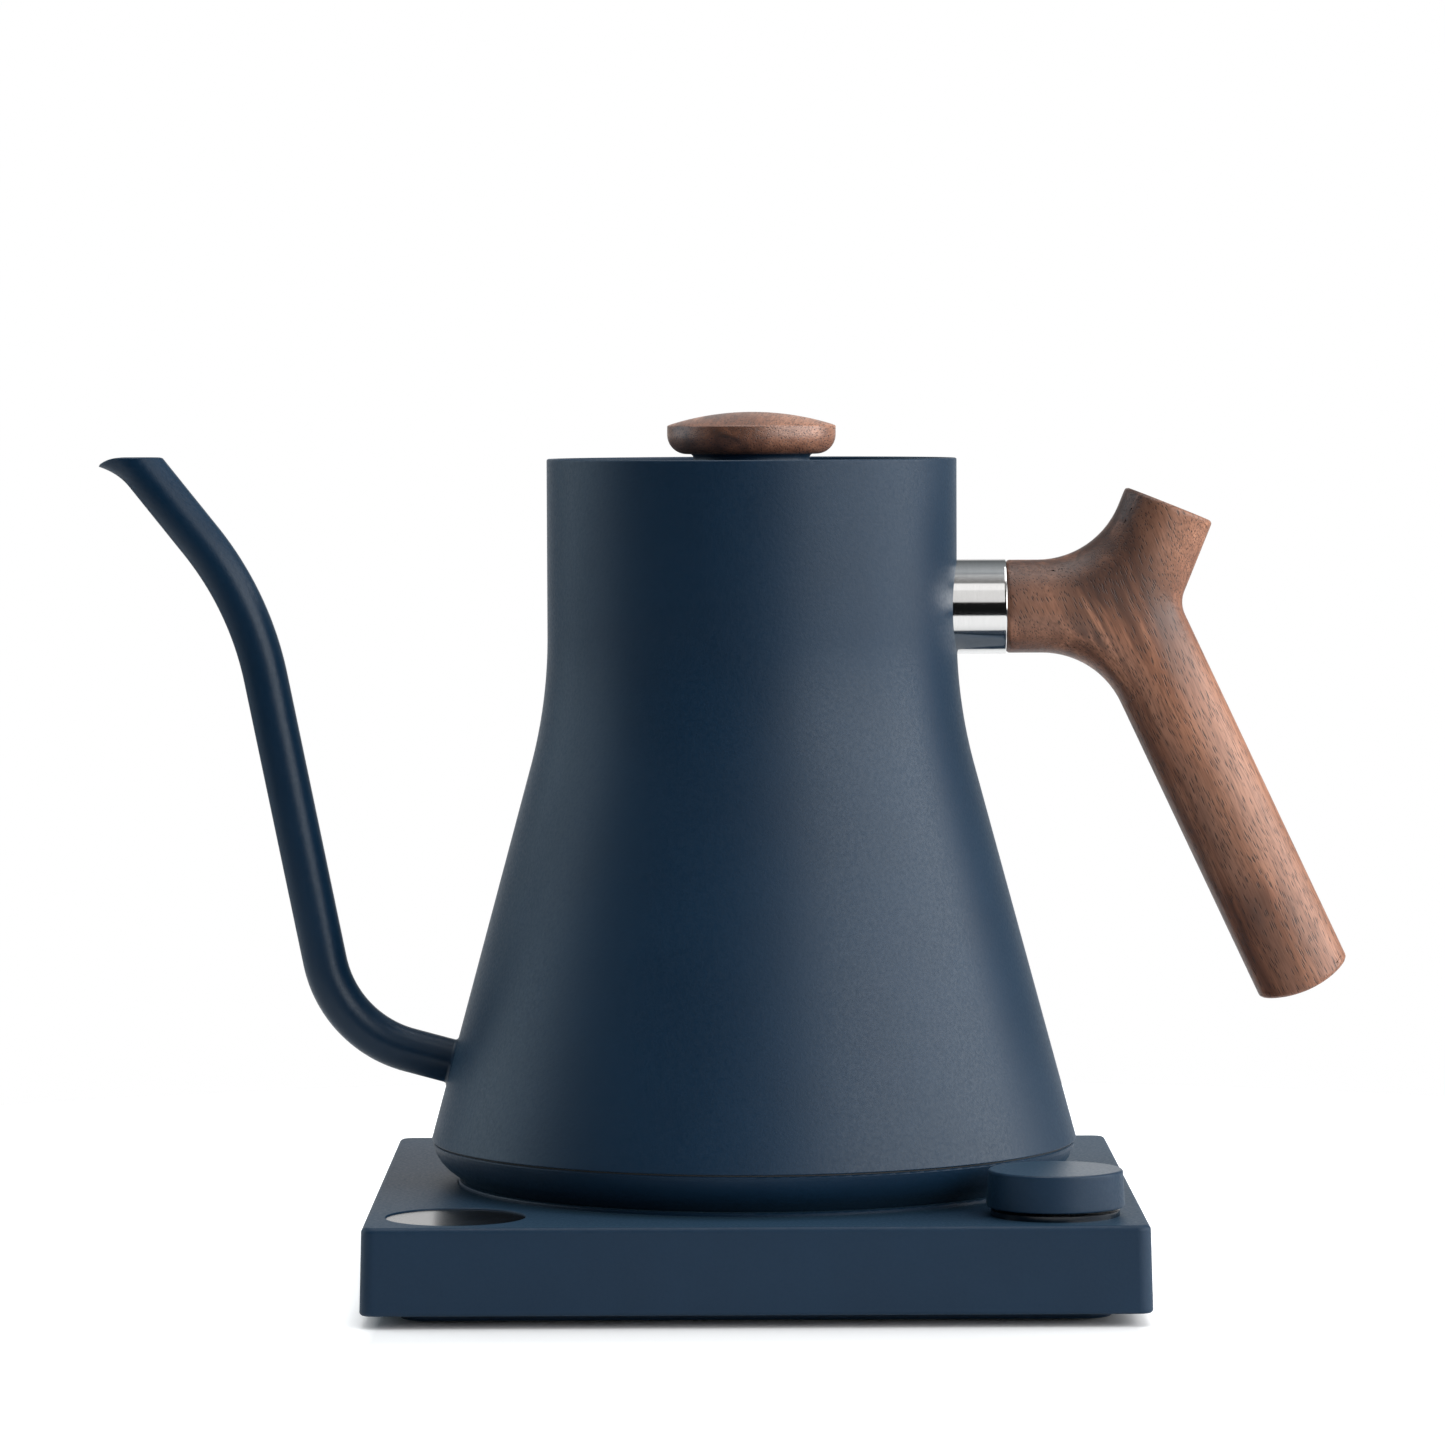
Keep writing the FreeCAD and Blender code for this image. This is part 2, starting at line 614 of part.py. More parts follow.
def spout():
    outer = SPOUT_DIAMETER / 2
    inner = outer - SPOUT_WALL
    skin = spout_tube(outer).fuse(spout_lip(outer))
    bore = spout_tube(inner).fuse(spout_lip(inner))
    return skin.cut(bore).cut(body_filled()).cut(above_mouth()).removeSplitter()


def ferrule_end():
    return BODY_TOP_RADIUS + FERRULE_LENGTH


def handle_ferrule():
    start = Vector(0, 0, STEM_Z)
    end = Vector(ferrule_end(), 0, STEM_Z)
    sleeve = rod(HANDLE_DEPTH / 2, start, end).cut(rod(STUD_ROD_RADIUS + JOINT_GAP, start, end))
    return sleeve.cut(body_filled())


def handle_stud():
    end = Vector(ferrule_end() + INSERT_LENGTH, 0, STEM_Z)
    return rod(STUD_ROD_RADIUS, Vector(0, 0, STEM_Z), end).cut(body_filled())


def handle_insert():
    start = Vector(ferrule_end(), 0, STEM_Z)
    end = start + Vector(INSERT_LENGTH, 0, 0)
    return rod(INSERT_RADIUS, start, end).cut(rod(STUD_ROD_RADIUS + JOINT_GAP, start, end))


def handle_arms():
    """The fork point of the handle, and the directions of its grip and its stub."""
    fork = Vector(ferrule_end() + STEM_LENGTH, 0, STEM_Z)
    grip_lean = math.radians(GRIP_LEAN)
    stub_lean = math.radians(STUB_LEAN)
    grip = Vector(math.sin(grip_lean), 0, -math.cos(grip_lean))
    stub = Vector(math.sin(stub_lean), 0, math.cos(stub_lean))
    return fork, grip, stub


def beside(start, run, along, aside):
    """A point (x, z) along a run from a start, and aside from it to the right of the run."""
    return (start.x + run.x * along + run.z * aside, start.z + run.z * along - run.x * aside)


def handle_outline():
    """The forked outline in the upright middle plane, from the stem's end round by the stub and the grip."""
    fork, grip, stub = handle_arms()
    half = HANDLE_DEPTH / 2
    stub_half = STUB_WIDTH / 2
    grip_half = GRIP_WIDTH / 2
    stem_low = (ferrule_end(), STEM_Z - half)
    stem_high = (ferrule_end(), STEM_Z + half)
    stem_run = (1.0, 0.0)
    stub_run = (stub.x, stub.z)
    grip_run = (grip.x, grip.z)
    top = meet(stem_high, stem_run, beside(fork, stub, 0, -stub_half), stub_run)
    notch = meet(beside(fork, stub, 0, stub_half), stub_run, beside(fork, grip, 0, -grip_half), grip_run)
    under = meet(stem_low, stem_run, beside(fork, grip, 0, grip_half), grip_run)
    crown = math.hypot(grip_half, GRIP_CROWN) * grip_half / GRIP_CROWN * NEARLY
    return [
        stem_low,
        stem_high,
        (*top, ARM_FILLET),
        beside(fork, stub, STUB_LENGTH, -stub_half),
        beside(fork, stub, STUB_LENGTH, stub_half),
        (*notch, NOTCH_FILLET),
        beside(fork, grip, GRIP_LENGTH, -grip_half),
        (*beside(fork, grip, GRIP_LENGTH + GRIP_CROWN, 0), crown),
        beside(fork, grip, GRIP_LENGTH, grip_half),
        (*under, ARM_FILLET),
    ]


def handle():
    fork, grip, stub = handle_arms()
    half = HANDLE_DEPTH / 2
    blank = Part.Face(outline(handle_outline(), upright)).extrude(Vector(0, HANDLE_DEPTH, 0))
    blank.translate(Vector(0, -half, 0))

    def beyond(edge, run, length):
        return (middle_of(edge) - fork).dot(run) > length - TOUCH

    def at_an_end(edge):
        return beyond(edge, stub, STUB_LENGTH) or beyond(edge, grip, GRIP_LENGTH) or (
            middle_of(edge).x < ferrule_end() + TOUCH)

    long_edges = [e for e in blank.Edges if e.BoundBox.YLength < TOUCH and not at_an_end(e)]
    narrowest = min(HANDLE_DEPTH, STUB_WIDTH, GRIP_WIDTH)
    limb = blank.makeFillet((narrowest - HANDLE_FLAT) / 2, long_edges)
    for run, length in ((stub, STUB_LENGTH), (grip, GRIP_LENGTH)):
        limb = limb.makeFillet(HANDLE_END_ROUND, [e for e in limb.Edges if beyond(e, run, length)])
    start = Vector(ferrule_end(), 0, STEM_Z)
    return limb.cut(rod(INSERT_RADIUS + JOINT_GAP, start, start + Vector(INSERT_LENGTH, 0, 0)))


# Lid
def lid_collar():
    return ring(NECK_RADIUS - JOINT_GAP, COLLAR_BORE, LID_SEAT_Z - COLLAR_HEIGHT, LID_SEAT_Z)


def lid_plate():
    disc = post(NECK_RADIUS - LID_GAP, LID_SEAT_Z, LID_TOP_Z)
    skirt_z = LID_SEAT_Z - LID_SKIRT_DEPTH
    skirt = ring(LID_SKIRT_RADIUS, LID_SKIRT_RADIUS - LID_SKIRT_WALL, skirt_z, LID_SEAT_Z)
    plate = disc.fuse(skirt).cut(post(LID_SCREW_RADIUS + JOINT_GAP, LID_SEAT_Z, LID_TOP_Z))
    for x, y in around(VENT_CIRCLE, VENT_ANGLES):
        plate = plate.cut(post(VENT_RADIUS, LID_SEAT_Z, LID_TOP_Z, x, y))
    return plate


def lid_seal():
    low = LID_SEAT_Z - LID_SKIRT_DEPTH / 2 - LID_SEAL_HEIGHT / 2
    inner = LID_SKIRT_RADIUS + JOINT_GAP
    return ring(inner + LID_SEAL_WIDTH, inner, low, low + LID_SEAL_HEIGHT)


def lid_pedestal():
    waist_z = LID_TOP_Z + PEDESTAL_HEIGHT / 2
    bore = LID_SCREW_RADIUS + JOINT_GAP
    return turned([
        (bore, LID_TOP_Z),
        (PEDESTAL_FOOT_RADIUS, LID_TOP_Z),
        (PEDESTAL_WAIST_RADIUS, waist_z, PEDESTAL_HEIGHT / 2),
        (PEDESTAL_TOP_RADIUS, PEDESTAL_TOP_Z),
        (bore, PEDESTAL_TOP_Z),
    ])


def lid_knob():
    edge_z = PEDESTAL_TOP_Z + LID_KNOB_EDGE
    sphere = (LID_KNOB_RADIUS ** 2 + LID_KNOB_CROWN ** 2) / (2 * LID_KNOB_CROWN)
    blank = filled([
        (LID_KNOB_RADIUS, PEDESTAL_TOP_Z, LID_KNOB_UNDER_ROUND),
        (LID_KNOB_RADIUS, edge_z + LID_KNOB_CROWN),
    ])
    dome = Part.makeSphere(sphere, Vector(0, 0, edge_z + LID_KNOB_CROWN - sphere))
    knob = blank.common(dome)
    knob = knob.makeFillet(LID_KNOB_TOP_ROUND, edges_at_height(knob, edge_z))
    socket = post(LID_INSERT_RADIUS + JOINT_GAP, PEDESTAL_TOP_Z, PEDESTAL_TOP_Z + LID_INSERT_LENGTH)
    return knob.cut(socket)


def lid_insert():
    top = PEDESTAL_TOP_Z + LID_INSERT_LENGTH
    return ring(LID_INSERT_RADIUS, LID_SCREW_RADIUS + JOINT_GAP, PEDESTAL_TOP_Z, top)


def lid_screw():
    head = post(LID_INSERT_RADIUS, LID_SEAT_Z - SCREW_HEAD_HEIGHT, LID_SEAT_Z)
    return head.fuse(post(LID_SCREW_RADIUS, LID_SEAT_Z, PEDESTAL_TOP_Z + LID_INSERT_LENGTH))


# Lower cup and heater
CUP_OUTLINE = [
    (CUP_TOE_RADIUS, DOCK_TOP_Z),
    (BODY_FOOT_RADIUS - CUP_KNEE_INSET, DOCK_TOP_Z + CUP_KNEE_HEIGHT, CUP_KNEE_RADIUS),
    (BODY_FOOT_RADIUS - CUP_TOP_INSET, CUP_TOP_Z),
]


def base_cup():
    hollow = filled(inner_wall(CUP_OUTLINE, CUP_WALL, CUP_FLOOR_Z, CUP_TOP_Z + PAST_END))
    cup = filled(CUP_OUTLINE).cut(hollow)
    cup = cup.makeFillet(CUP_LIP_ROUND, edges_at_height(cup, CUP_TOP_Z))
    boss_top = CUP_FLOOR_Z + CUP_BOSS_HEIGHT
    sink_top = DOCK_TOP_Z + SCREW_SINK + SCREW_HEAD_HEIGHT
    for x, y in around(CUP_STUD_CIRCLE, CUP_STUD_ANGLES):
        cup = cup.fuse(post(CUP_STUD_RADIUS + CUP_BOSS_WALL, DOCK_TOP_Z, boss_top, x, y))
        cup = cup.cut(screw_sink(x, y, DOCK_TOP_Z, sink_top)).cut(screw_hole(x, y, DOCK_TOP_Z, boss_top))
    return cup.cut(post(PLUG_RADIUS + SLIDE_GAP, DOCK_TOP_Z, CUP_FLOOR_Z)).removeSplitter()


def cup_studs():
    low = CUP_FLOOR_Z + CUP_BOSS_HEIGHT
    studs = []
    for x, y in around(CUP_STUD_CIRCLE, CUP_STUD_ANGLES):
        hole = screw_hole(x, y, low, low + SCREW_BITE + SCREW_END_ROOM)
        studs.append(post(CUP_STUD_RADIUS, low, HEATER_Z, x, y).cut(hole))
    return Part.makeCompound(studs)


def cup_screws():
    seat = DOCK_TOP_Z + SCREW_SINK + SCREW_HEAD_HEIGHT
    tip = CUP_FLOOR_Z + CUP_BOSS_HEIGHT + SCREW_BITE
    places = around(CUP_STUD_CIRCLE, CUP_STUD_ANGLES)
    return Part.makeCompound([screw(x, y, seat, tip, -1) for x, y in places])


def cup_seal():
    outer = BODY_FOOT_RADIUS - CUP_SEAL_INSET
    return ring(outer, outer - CUP_SEAL_WIDTH, CUP_TOP_Z, BODY_FOOT_Z)


def heater_plate():
    flange_z = HEATER_Z - HEATER_FLANGE
    edge = body_bore(flange_z) - JOINT_GAP
    corner = body_bore(HEATER_Z) - JOINT_GAP - HEATER_THICKNESS
    plate = turned([
        (0, HEATER_TOP_Z),
        (body_bore(HEATER_TOP_Z) - JOINT_GAP, HEATER_TOP_Z),
        (edge, flange_z),
        (edge - HEATER_THICKNESS, flange_z),
        (corner, HEATER_Z),
        (0, HEATER_Z),
    ])
    x, y = PROBE_PLACE
    return plate.cut(post(PROBE_SEAL_RADIUS + JOINT_GAP, HEATER_Z, HEATER_TOP_Z, x, y))


def spreader_plate():
    disc = post(SPREADER_RADIUS, SPREADER_Z, HEATER_Z)
    for x, y in around(PLUG_SCREW_CIRCLE, PLUG_SCREW_ANGLES):
        disc = disc.cut(screw_hole(x, y, SPREADER_Z, SPREADER_Z + SCREW_SHORT_BITE + SCREW_END_ROOM))
    x, y = PROBE_PLACE
    return disc.cut(post(PROBE_SEAL_RADIUS + JOINT_GAP, SPREADER_Z, HEATER_Z, x, y))


def heating_element():
    """An open ring of sheathed tube, flattened where it is brazed on, with its gap towards the handle."""
    centre = Vector(ELEMENT_CIRCLE, 0, SPREADER_Z + ELEMENT_FLAT - ELEMENT_RADIUS)
    disc = Part.Face(Part.Wire(Part.makeCircle(ELEMENT_RADIUS, centre, Vector(0, 1, 0))))
    gap = 360 - ELEMENT_SWEEP
    disc.rotate(Vector(0, 0, 0), Vector(0, 0, 1), gap / 2)
    tube = disc.revolve(Vector(0, 0, 0), Vector(0, 0, 1), ELEMENT_SWEEP)
    for side in (-1, 1):
        turn = math.radians(side * gap / 2)
        end = Vector(centre.x * math.cos(turn), centre.x * math.sin(turn), centre.z)
        inwards = Vector(math.sin(turn), -math.cos(turn), 0) * side
        tube = tube.fuse(rod(ELEMENT_TAIL_RADIUS, end, end + inwards * ELEMENT_TAIL_LENGTH))
    reach = SPREADER_RADIUS
    return tube.cut(block(-reach, reach, -reach, reach, SPREADER_Z, HEATER_Z))


def thermal_cutouts():
    cans = []
    low = SPREADER_Z - CUTOUT_HEIGHT
    for x, y in around(SENSOR_CIRCLE, CUTOUT_ANGLES):
        can = post(CUTOUT_RADIUS, low, SPREADER_Z, x, y)
        cans.append(can.fuse(post(CUTOUT_TOP_RADIUS, low - CUTOUT_TOP_HEIGHT, low, x, y)))
    return Part.makeCompound(cans)


def temp_probe():
    x, y = PROBE_PLACE
    low = SPREADER_Z - PROBE_COLLAR_HEIGHT
    stem = post(PROBE_RADIUS, low, HEATER_TOP_Z + PROBE_RISE, x, y)
    stem = stem.makeFillet(PROBE_TIP_ROUND, edges_at_height(stem, HEATER_TOP_Z + PROBE_RISE))
    return stem.fuse(post(PROBE_SEAL_RADIUS, low, SPREADER_Z, x, y))


def probe_seal():
    x, y = PROBE_PLACE
    top = HEATER_TOP_Z + PROBE_SEAL_RIM_HEIGHT
    plug = post(PROBE_SEAL_RADIUS, SPREADER_Z, HEATER_TOP_Z, x, y)
    rim = post(PROBE_SEAL_RADIUS + PROBE_SEAL_RIM, HEATER_TOP_Z, top, x, y)
    return plug.fuse(rim).cut(post(PROBE_RADIUS + JOINT_GAP, SPREADER_Z, top, x, y))


# Connector
def contact_ring(inner_space, outer_space, low, high):
    outer = RING_RADIUS + RING_WIDTH / 2 + outer_space
    return ring(outer, RING_RADIUS - RING_WIDTH / 2 - inner_space, low, high)


def plug_ear(angle):
    """A round-ended ear that carries one of the plug's screws."""
    low = SPREADER_Z - PLUG_EAR_HEIGHT
    half = PLUG_EAR_WIDTH / 2
    ear = block(0, PLUG_SCREW_CIRCLE, -half, half, low, SPREADER_Z)
    ear = ear.fuse(post(half, low, SPREADER_Z, PLUG_SCREW_CIRCLE))
    ear.rotate(Vector(0, 0, 0), Vector(0, 0, 1), angle)
    return ear


def kettle_plug():
    low = DOCK_TOP_Z + PLUG_RISE
    roof = TOWER_TOP_Z + PLUG_HEADROOM
    plug = post(PLUG_RADIUS, low, SPREADER_Z)
    for angle in PLUG_SCREW_ANGLES:
        plug = plug.fuse(plug_ear(angle))
    plug = plug.cut(post(PLUG_BORE, low, roof))
    plug = plug.cut(post(PIN_RADIUS + JOINT_GAP, roof, roof + CONTACT_ROOT))
    plug = plug.cut(contact_ring(JOINT_GAP, JOINT_GAP, roof, roof + CONTACT_ROOT))
    for x, y in around(PLUG_SCREW_CIRCLE, PLUG_SCREW_ANGLES):
        plug = plug.cut(screw_hole(x, y, SPREADER_Z - PLUG_EAR_HEIGHT, SPREADER_Z))
    return plug.removeSplitter()


def plug_contacts():
    low = SOCKET_CONTACT_Z + CONTACT_HEIGHT + CONTACT_GAP
    high = TOWER_TOP_Z + PLUG_HEADROOM + CONTACT_ROOT
    return Part.makeCompound([post(PIN_RADIUS, low, high), contact_ring(0, 0, low, high)])


def plug_screws():
    seat = SPREADER_Z - PLUG_EAR_HEIGHT
    tip = SPREADER_Z + SCREW_SHORT_BITE
    places = around(PLUG_SCREW_CIRCLE, PLUG_SCREW_ANGLES)
    return Part.makeCompound([screw(x, y, seat, tip, -1) for x, y in places])


def base_socket():
    low = CEILING_Z - SOCKET_FLANGE_HEIGHT
    socket = post(SOCKET_FLANGE_RADIUS, low, CEILING_Z).fuse(post(TOWER_RADIUS, low, TOWER_TOP_Z))
    socket = socket.makeFillet(SOCKET_TOP_ROUND, edges_at_height(socket, TOWER_TOP_Z))
    socket = socket.cut(post(PIN_BORE, SOCKET_CONTACT_Z, TOWER_TOP_Z))
    socket = socket.cut(contact_ring(PIN_SPACE, PIN_SPACE, SOCKET_CONTACT_Z, TOWER_TOP_Z))
    for x, y in around(SOCKET_SCREW_CIRCLE, PLUG_SCREW_ANGLES):
        socket = socket.cut(screw_hole(x, y, low, CEILING_Z))
    return socket


def socket_contacts():
    high = SOCKET_CONTACT_Z + CONTACT_HEIGHT
    space = PIN_SPACE - JOINT_GAP
    button = post(PIN_RADIUS + space, SOCKET_CONTACT_Z, high)
    return Part.makeCompound([button, contact_ring(space, space, SOCKET_CONTACT_Z, high)])


def socket_screws():
    seat = CEILING_Z - SOCKET_FLANGE_HEIGHT
    tip = DOCK_FLOOR_Z + SCREW_SHORT_BITE
    places = around(SOCKET_SCREW_CIRCLE, PLUG_SCREW_ANGLES)
    return Part.makeCompound([screw(x, y, seat, tip, -1) for x, y in places])


# Base casing
def base_shell():
    top_half = BASE_HALF - BASE_DRAFT
    casing = Part.makeWedge(-BASE_HALF, 0, -BASE_HALF, -top_half, -top_half,
                            BASE_HALF, BASE_WALL_HEIGHT, BASE_HALF, top_half, top_half)
    casing.rotate(Vector(0, 0, 0), Vector(1, 0, 0), 90)
    casing.translate(Vector(0, 0, WALL_Z))
    uprights = [e for e in casing.Edges if e.BoundBox.ZLength > BASE_WALL_HEIGHT / 2]
    casing = casing.makeFillet(BASE_CORNER_RADIUS, uprights)
    casing = casing.makeFillet(BASE_TOP_ROUND, edges_at_height(casing, BASE_TOP_Z))
    casing = casing.makeFillet(BASE_FOOT_ROUND, edges_at_height(casing, WALL_Z))
    casing = casing.cut(slab(CAVITY_HALF, BASE_INNER_CORNER, WALL_Z - PAST_END, CEILING_Z))
    for x, y in BOSS_PLACES:
        casing = casing.fuse(post(BOSS_RADIUS, TRAY_Z, CEILING_Z, x, y))
        casing = casing.cut(screw_hole(x, y, TRAY_Z, TRAY_Z + SCREW_BITE + SCREW_END_ROOM))
    top = BASE_TOP_Z + PAST_END
    casing = casing.cut(post(DOCK_RADIUS + SEAT_GAP, DOCK_FLOOR_Z, top))
    casing = casing.cut(post(TOWER_RADIUS + SEAT_GAP, CEILING_Z, top))
    for x, y in around(SOCKET_SCREW_CIRCLE, PLUG_SCREW_ANGLES):
        casing = casing.cut(screw_hole(x, y, CEILING_Z, DOCK_FLOOR_Z))
    x, y = DISPLAY_PLACE
    recess = DISPLAY_RADIUS + SEAT_GAP / 2
    casing = casing.cut(post(recess, DISPLAY_Z, top, x, y))
    bevel = filled([(recess, BASE_TOP_Z - DISPLAY_RIM_BEVEL), (recess + DISPLAY_RIM_BEVEL + PAST_END, top)])
    casing = casing.cut(bevel.translated(Vector(x, y, 0)))
    casing = casing.cut(post(DISPLAY_RADIUS - DISPLAY_LEDGE, CEILING_Z, top, x, y))
    x, y = KNOB_PLACE
    casing = casing.cut(post(BUSH_RADIUS + SEAT_GAP, CEILING_Z, top, x, y))
    return casing.cut(rear_openings()).removeSplitter()


def rear_rod(radius, start, end, x=0.0):
    """A rod along Y at the rear controls' height."""
    return rod(radius, Vector(x, start, REAR_Z), Vector(x, end, REAR_Z))


def rear_openings():
    """Gland hole with its sunk seat, slider slot and button hole in the rear wall."""
    out = BASE_HALF + PAST_END
    neck = GLAND_BORE + GLAND_WALL
    cuts = rear_rod(neck + JOINT_GAP, CAVITY_HALF, out)
    cuts = cuts.fuse(rear_rod(neck + GLAND_LIP + SEAT_GAP, REAR_FACE - GLAND_SUNK, out))
    slot_rise = SLIDER_HEIGHT / 2 + SLIDE_GAP
    slot = block(-REAR_CONTROL_PLACE - SLOT_HALF, -REAR_CONTROL_PLACE + SLOT_HALF, CAVITY_HALF, out,
                 REAR_Z - slot_rise, REAR_Z + slot_rise)
    hole = rear_rod(BUTTON_RADIUS + SLIDE_GAP, CAVITY_HALF, out, REAR_CONTROL_PLACE)
    return Part.makeCompound([cuts, slot, hole])


def base_plate():
    """Dished plinth tray: a floor on feet, and a flange that drops into the casing."""
    flange_top = WALL_Z + PLINTH_FLANGE
    plinth = slab(PLINTH_HALF, PLINTH_CORNER, PLINTH_Z, flange_top)
    plinth = plinth.makeFillet(PLINTH_ROUND, edges_at_height(plinth, PLINTH_Z))
    tray = plinth.fuse(slab(CAVITY_HALF - SEAT_GAP, BASE_INNER_CORNER, WALL_Z, flange_top))
    tray = tray.cut(slab(TRAY_HALF, PLINTH_CORNER - PLINTH_RING, TRAY_Z, flange_top))
    for x, y in BOARD_SCREW_PLACES:
        tray = tray.fuse(post(STANDOFF_RADIUS, TRAY_Z, BOARD_Z, x, y))
        tray = tray.cut(screw_hole(x, y, BOARD_Z - BOARD_SCREW_BITE - BOARD_SCREW_ROOM, BOARD_Z))
    for x, y in BOSS_PLACES:
        tray = tray.cut(screw_hole(x, y, PLINTH_Z, TRAY_Z))
        tray = tray.cut(screw_sink(x, y, PLINTH_Z, BASE_SCREW_SEAT_Z))
    for x, y in FOOT_PLACES:
        tray = tray.cut(post(FOOT_RADIUS + JOINT_GAP, PLINTH_Z, PLINTH_Z + FOOT_SUNK, x, y))
    return tray.removeSplitter()


def rubber_feet():
    feet = []
    for x, y in FOOT_PLACES:
        foot = post(FOOT_RADIUS, 0, PLINTH_Z + FOOT_SUNK, x, y)
        feet.append(foot.makeFillet(FOOT_EDGE_ROUND, edges_at_height(foot, 0)))
    return Part.makeCompound(feet)


def base_screws():
    tip = TRAY_Z + SCREW_BITE
    return Part.makeCompound([screw(x, y, BASE_SCREW_SEAT_Z, tip, -1) for x, y in BOSS_PLACES])


def dock_plate():
    plate = post(DOCK_RADIUS, DOCK_FLOOR_Z, DOCK_TOP_Z)
    plate = plate.makeFillet(DOCK_EDGE_ROUND, edges_at_height(plate, DOCK_TOP_Z))
    plate = plate.cut(post(TOWER_RADIUS + SEAT_GAP, DOCK_FLOOR_Z, DOCK_TOP_Z))
    hole_top = DOCK_FLOOR_Z + SCREW_SHORT_BITE + SCREW_SHORT_ROOM
    for x, y in around(SOCKET_SCREW_CIRCLE, PLUG_SCREW_ANGLES):
        plate = plate.cut(screw_hole(x, y, DOCK_FLOOR_Z, hole_top))
    return plate


# Controls on top of the base
def display_lens():
    x, y = DISPLAY_PLACE
    return post(DISPLAY_RADIUS, DISPLAY_Z, DISPLAY_Z + DISPLAY_THICKNESS, x, y)


def display_module():
    x, y = DISPLAY_PLACE
    half = DISPLAY_RADIUS - MODULE_INSET
    glass_top = DISPLAY_Z - JOINT_GAP
    glass_z = glass_top - DISPLAY_GLASS
    module = block(x - half, x + half, y - half, y + half, BOARD_TOP_Z, glass_z)
    return module.fuse(post(DISPLAY_RADIUS - DISPLAY_LEDGE - JOINT_GAP, glass_z, glass_top, x, y))


def knob_ring():
    x, y = KNOB_PLACE
    outer = KNOB_RADIUS - KNOB_RING_INSET
    return ring(outer, outer - KNOB_RING_WIDTH, BASE_TOP_Z, BASE_TOP_Z + KNOB_RING_HEIGHT, x, y)


def control_knob():
    cap = filled([(KNOB_RADIUS, KNOB_Z), (KNOB_TOP_RADIUS, KNOB_TOP_Z)])
    cap = cap.makeFillet(KNOB_TOP_ROUND, edges_at_height(cap, KNOB_TOP_Z))
    cap = cap.makeFillet(KNOB_FOOT_ROUND, edges_at_height(cap, KNOB_Z))
    roof = KNOB_TOP_Z - KNOB_WALL
    hub_z = KNOB_Z + KNOB_HUB_LIFT
    cap = cap.cut(ring(KNOB_TOP_RADIUS - KNOB_WALL, KNOB_HUB_RADIUS, KNOB_Z, roof))
    cap = cap.cut(post(KNOB_HUB_RADIUS, KNOB_Z, hub_z))
    cap = cap.cut(post(SHAFT_RADIUS + JOINT_GAP, hub_z, roof))
    return cap.translated(Vector(*KNOB_PLACE, 0))


def encoder_shaft():
    return post(SHAFT_RADIUS, SHAFT_Z, KNOB_TOP_Z - KNOB_WALL, *KNOB_PLACE)


def push_plunger():
    return post(SHAFT_RADIUS - PLUNGER_SPACE, PLUNGER_Z, SHAFT_Z, *KNOB_PLACE)


def encoder_body():
    x, y = KNOB_PLACE
    top = BOARD_TOP_Z + ENCODER_HEIGHT
    body = block(x - ENCODER_WIDTH / 2, x + ENCODER_WIDTH / 2, y - ENCODER_DEPTH / 2, y + ENCODER_DEPTH / 2,
                 BOARD_TOP_Z, top)
    body = body.fuse(post(BUSH_RADIUS + BUSH_SHOULDER, top, CEILING_Z, x, y))
    body = body.fuse(post(BUSH_RADIUS, CEILING_Z, BUSH_TOP_Z, x, y))
    return body.cut(post(BUSH_BORE, BOARD_TOP_Z + ENCODER_FLOOR, BUSH_TOP_Z, x, y))


def encoder_nut():
    x, y = KNOB_PLACE
    corner = (BUSH_RADIUS + NUT_WIDTH) / math.cos(math.pi / 6)
    hexagon = outline(around(corner, range(0, 360, 60)), level)
    nut = Part.Face(hexagon).extrude(Vector(0, 0, NUT_HEIGHT)).translated(Vector(x, y, BASE_TOP_Z))
    return nut.cut(post(BUSH_RADIUS + JOINT_GAP, BASE_TOP_Z, BASE_TOP_Z + NUT_HEIGHT, x, y))


# Boards inside the base
def board(width_half, front, rear, screw_places):
    plate = block(-width_half, width_half, front, rear, BOARD_Z, BOARD_TOP_Z)
    for x, y in screw_places:
        plate = plate.cut(screw_hole(x, y, BOARD_Z, BOARD_TOP_Z))
    return plate


def control_board():
    return board(BOARD_LIMIT, -BOARD_LIMIT, CONTROL_BOARD_REAR, CONTROL_SCREW_PLACES)


def power_board():
    return board(POWER_BOARD_WIDTH / 2, POWER_BOARD_FRONT, BOARD_LIMIT, POWER_SCREW_PLACES)


def board_screws():
    tip = BOARD_Z - BOARD_SCREW_BITE
    return Part.makeCompound([screw(x, y, BOARD_TOP_Z, tip, 1) for x, y in BOARD_SCREW_PLACES])


def ribbon_cable():
    """A flat ribbon that leaves each board's top and lies on the tray between them."""
    front = CONTROL_BOARD_REAR
    rear = POWER_BOARD_FRONT
    low = TRAY_Z
    high = BOARD_TOP_Z
    lower_side = [
        (front - RIBBON_LAP, high),
        (front + RIBBON_LAP, high, RIBBON_BEND),
        (front + RIBBON_LAP + RIBBON_DROP_RUN, low, RIBBON_BEND),
        (rear - RIBBON_LAP - RIBBON_DROP_RUN, low, RIBBON_BEND),
        (rear - RIBBON_LAP, high, RIBBON_BEND),
        (rear + RIBBON_LAP, high),
    ]
    upper_side = [(c[0], c[1] + RIBBON_THICKNESS, *c[2:]) for c in reversed(lower_side)]
    face = Part.Face(outline(lower_side + upper_side, sideways))
    start = RIBBON_PLACE - RIBBON_WIDTH / 2
    return face.extrude(Vector(RIBBON_WIDTH, 0, 0)).translated(Vector(start, 0, 0))


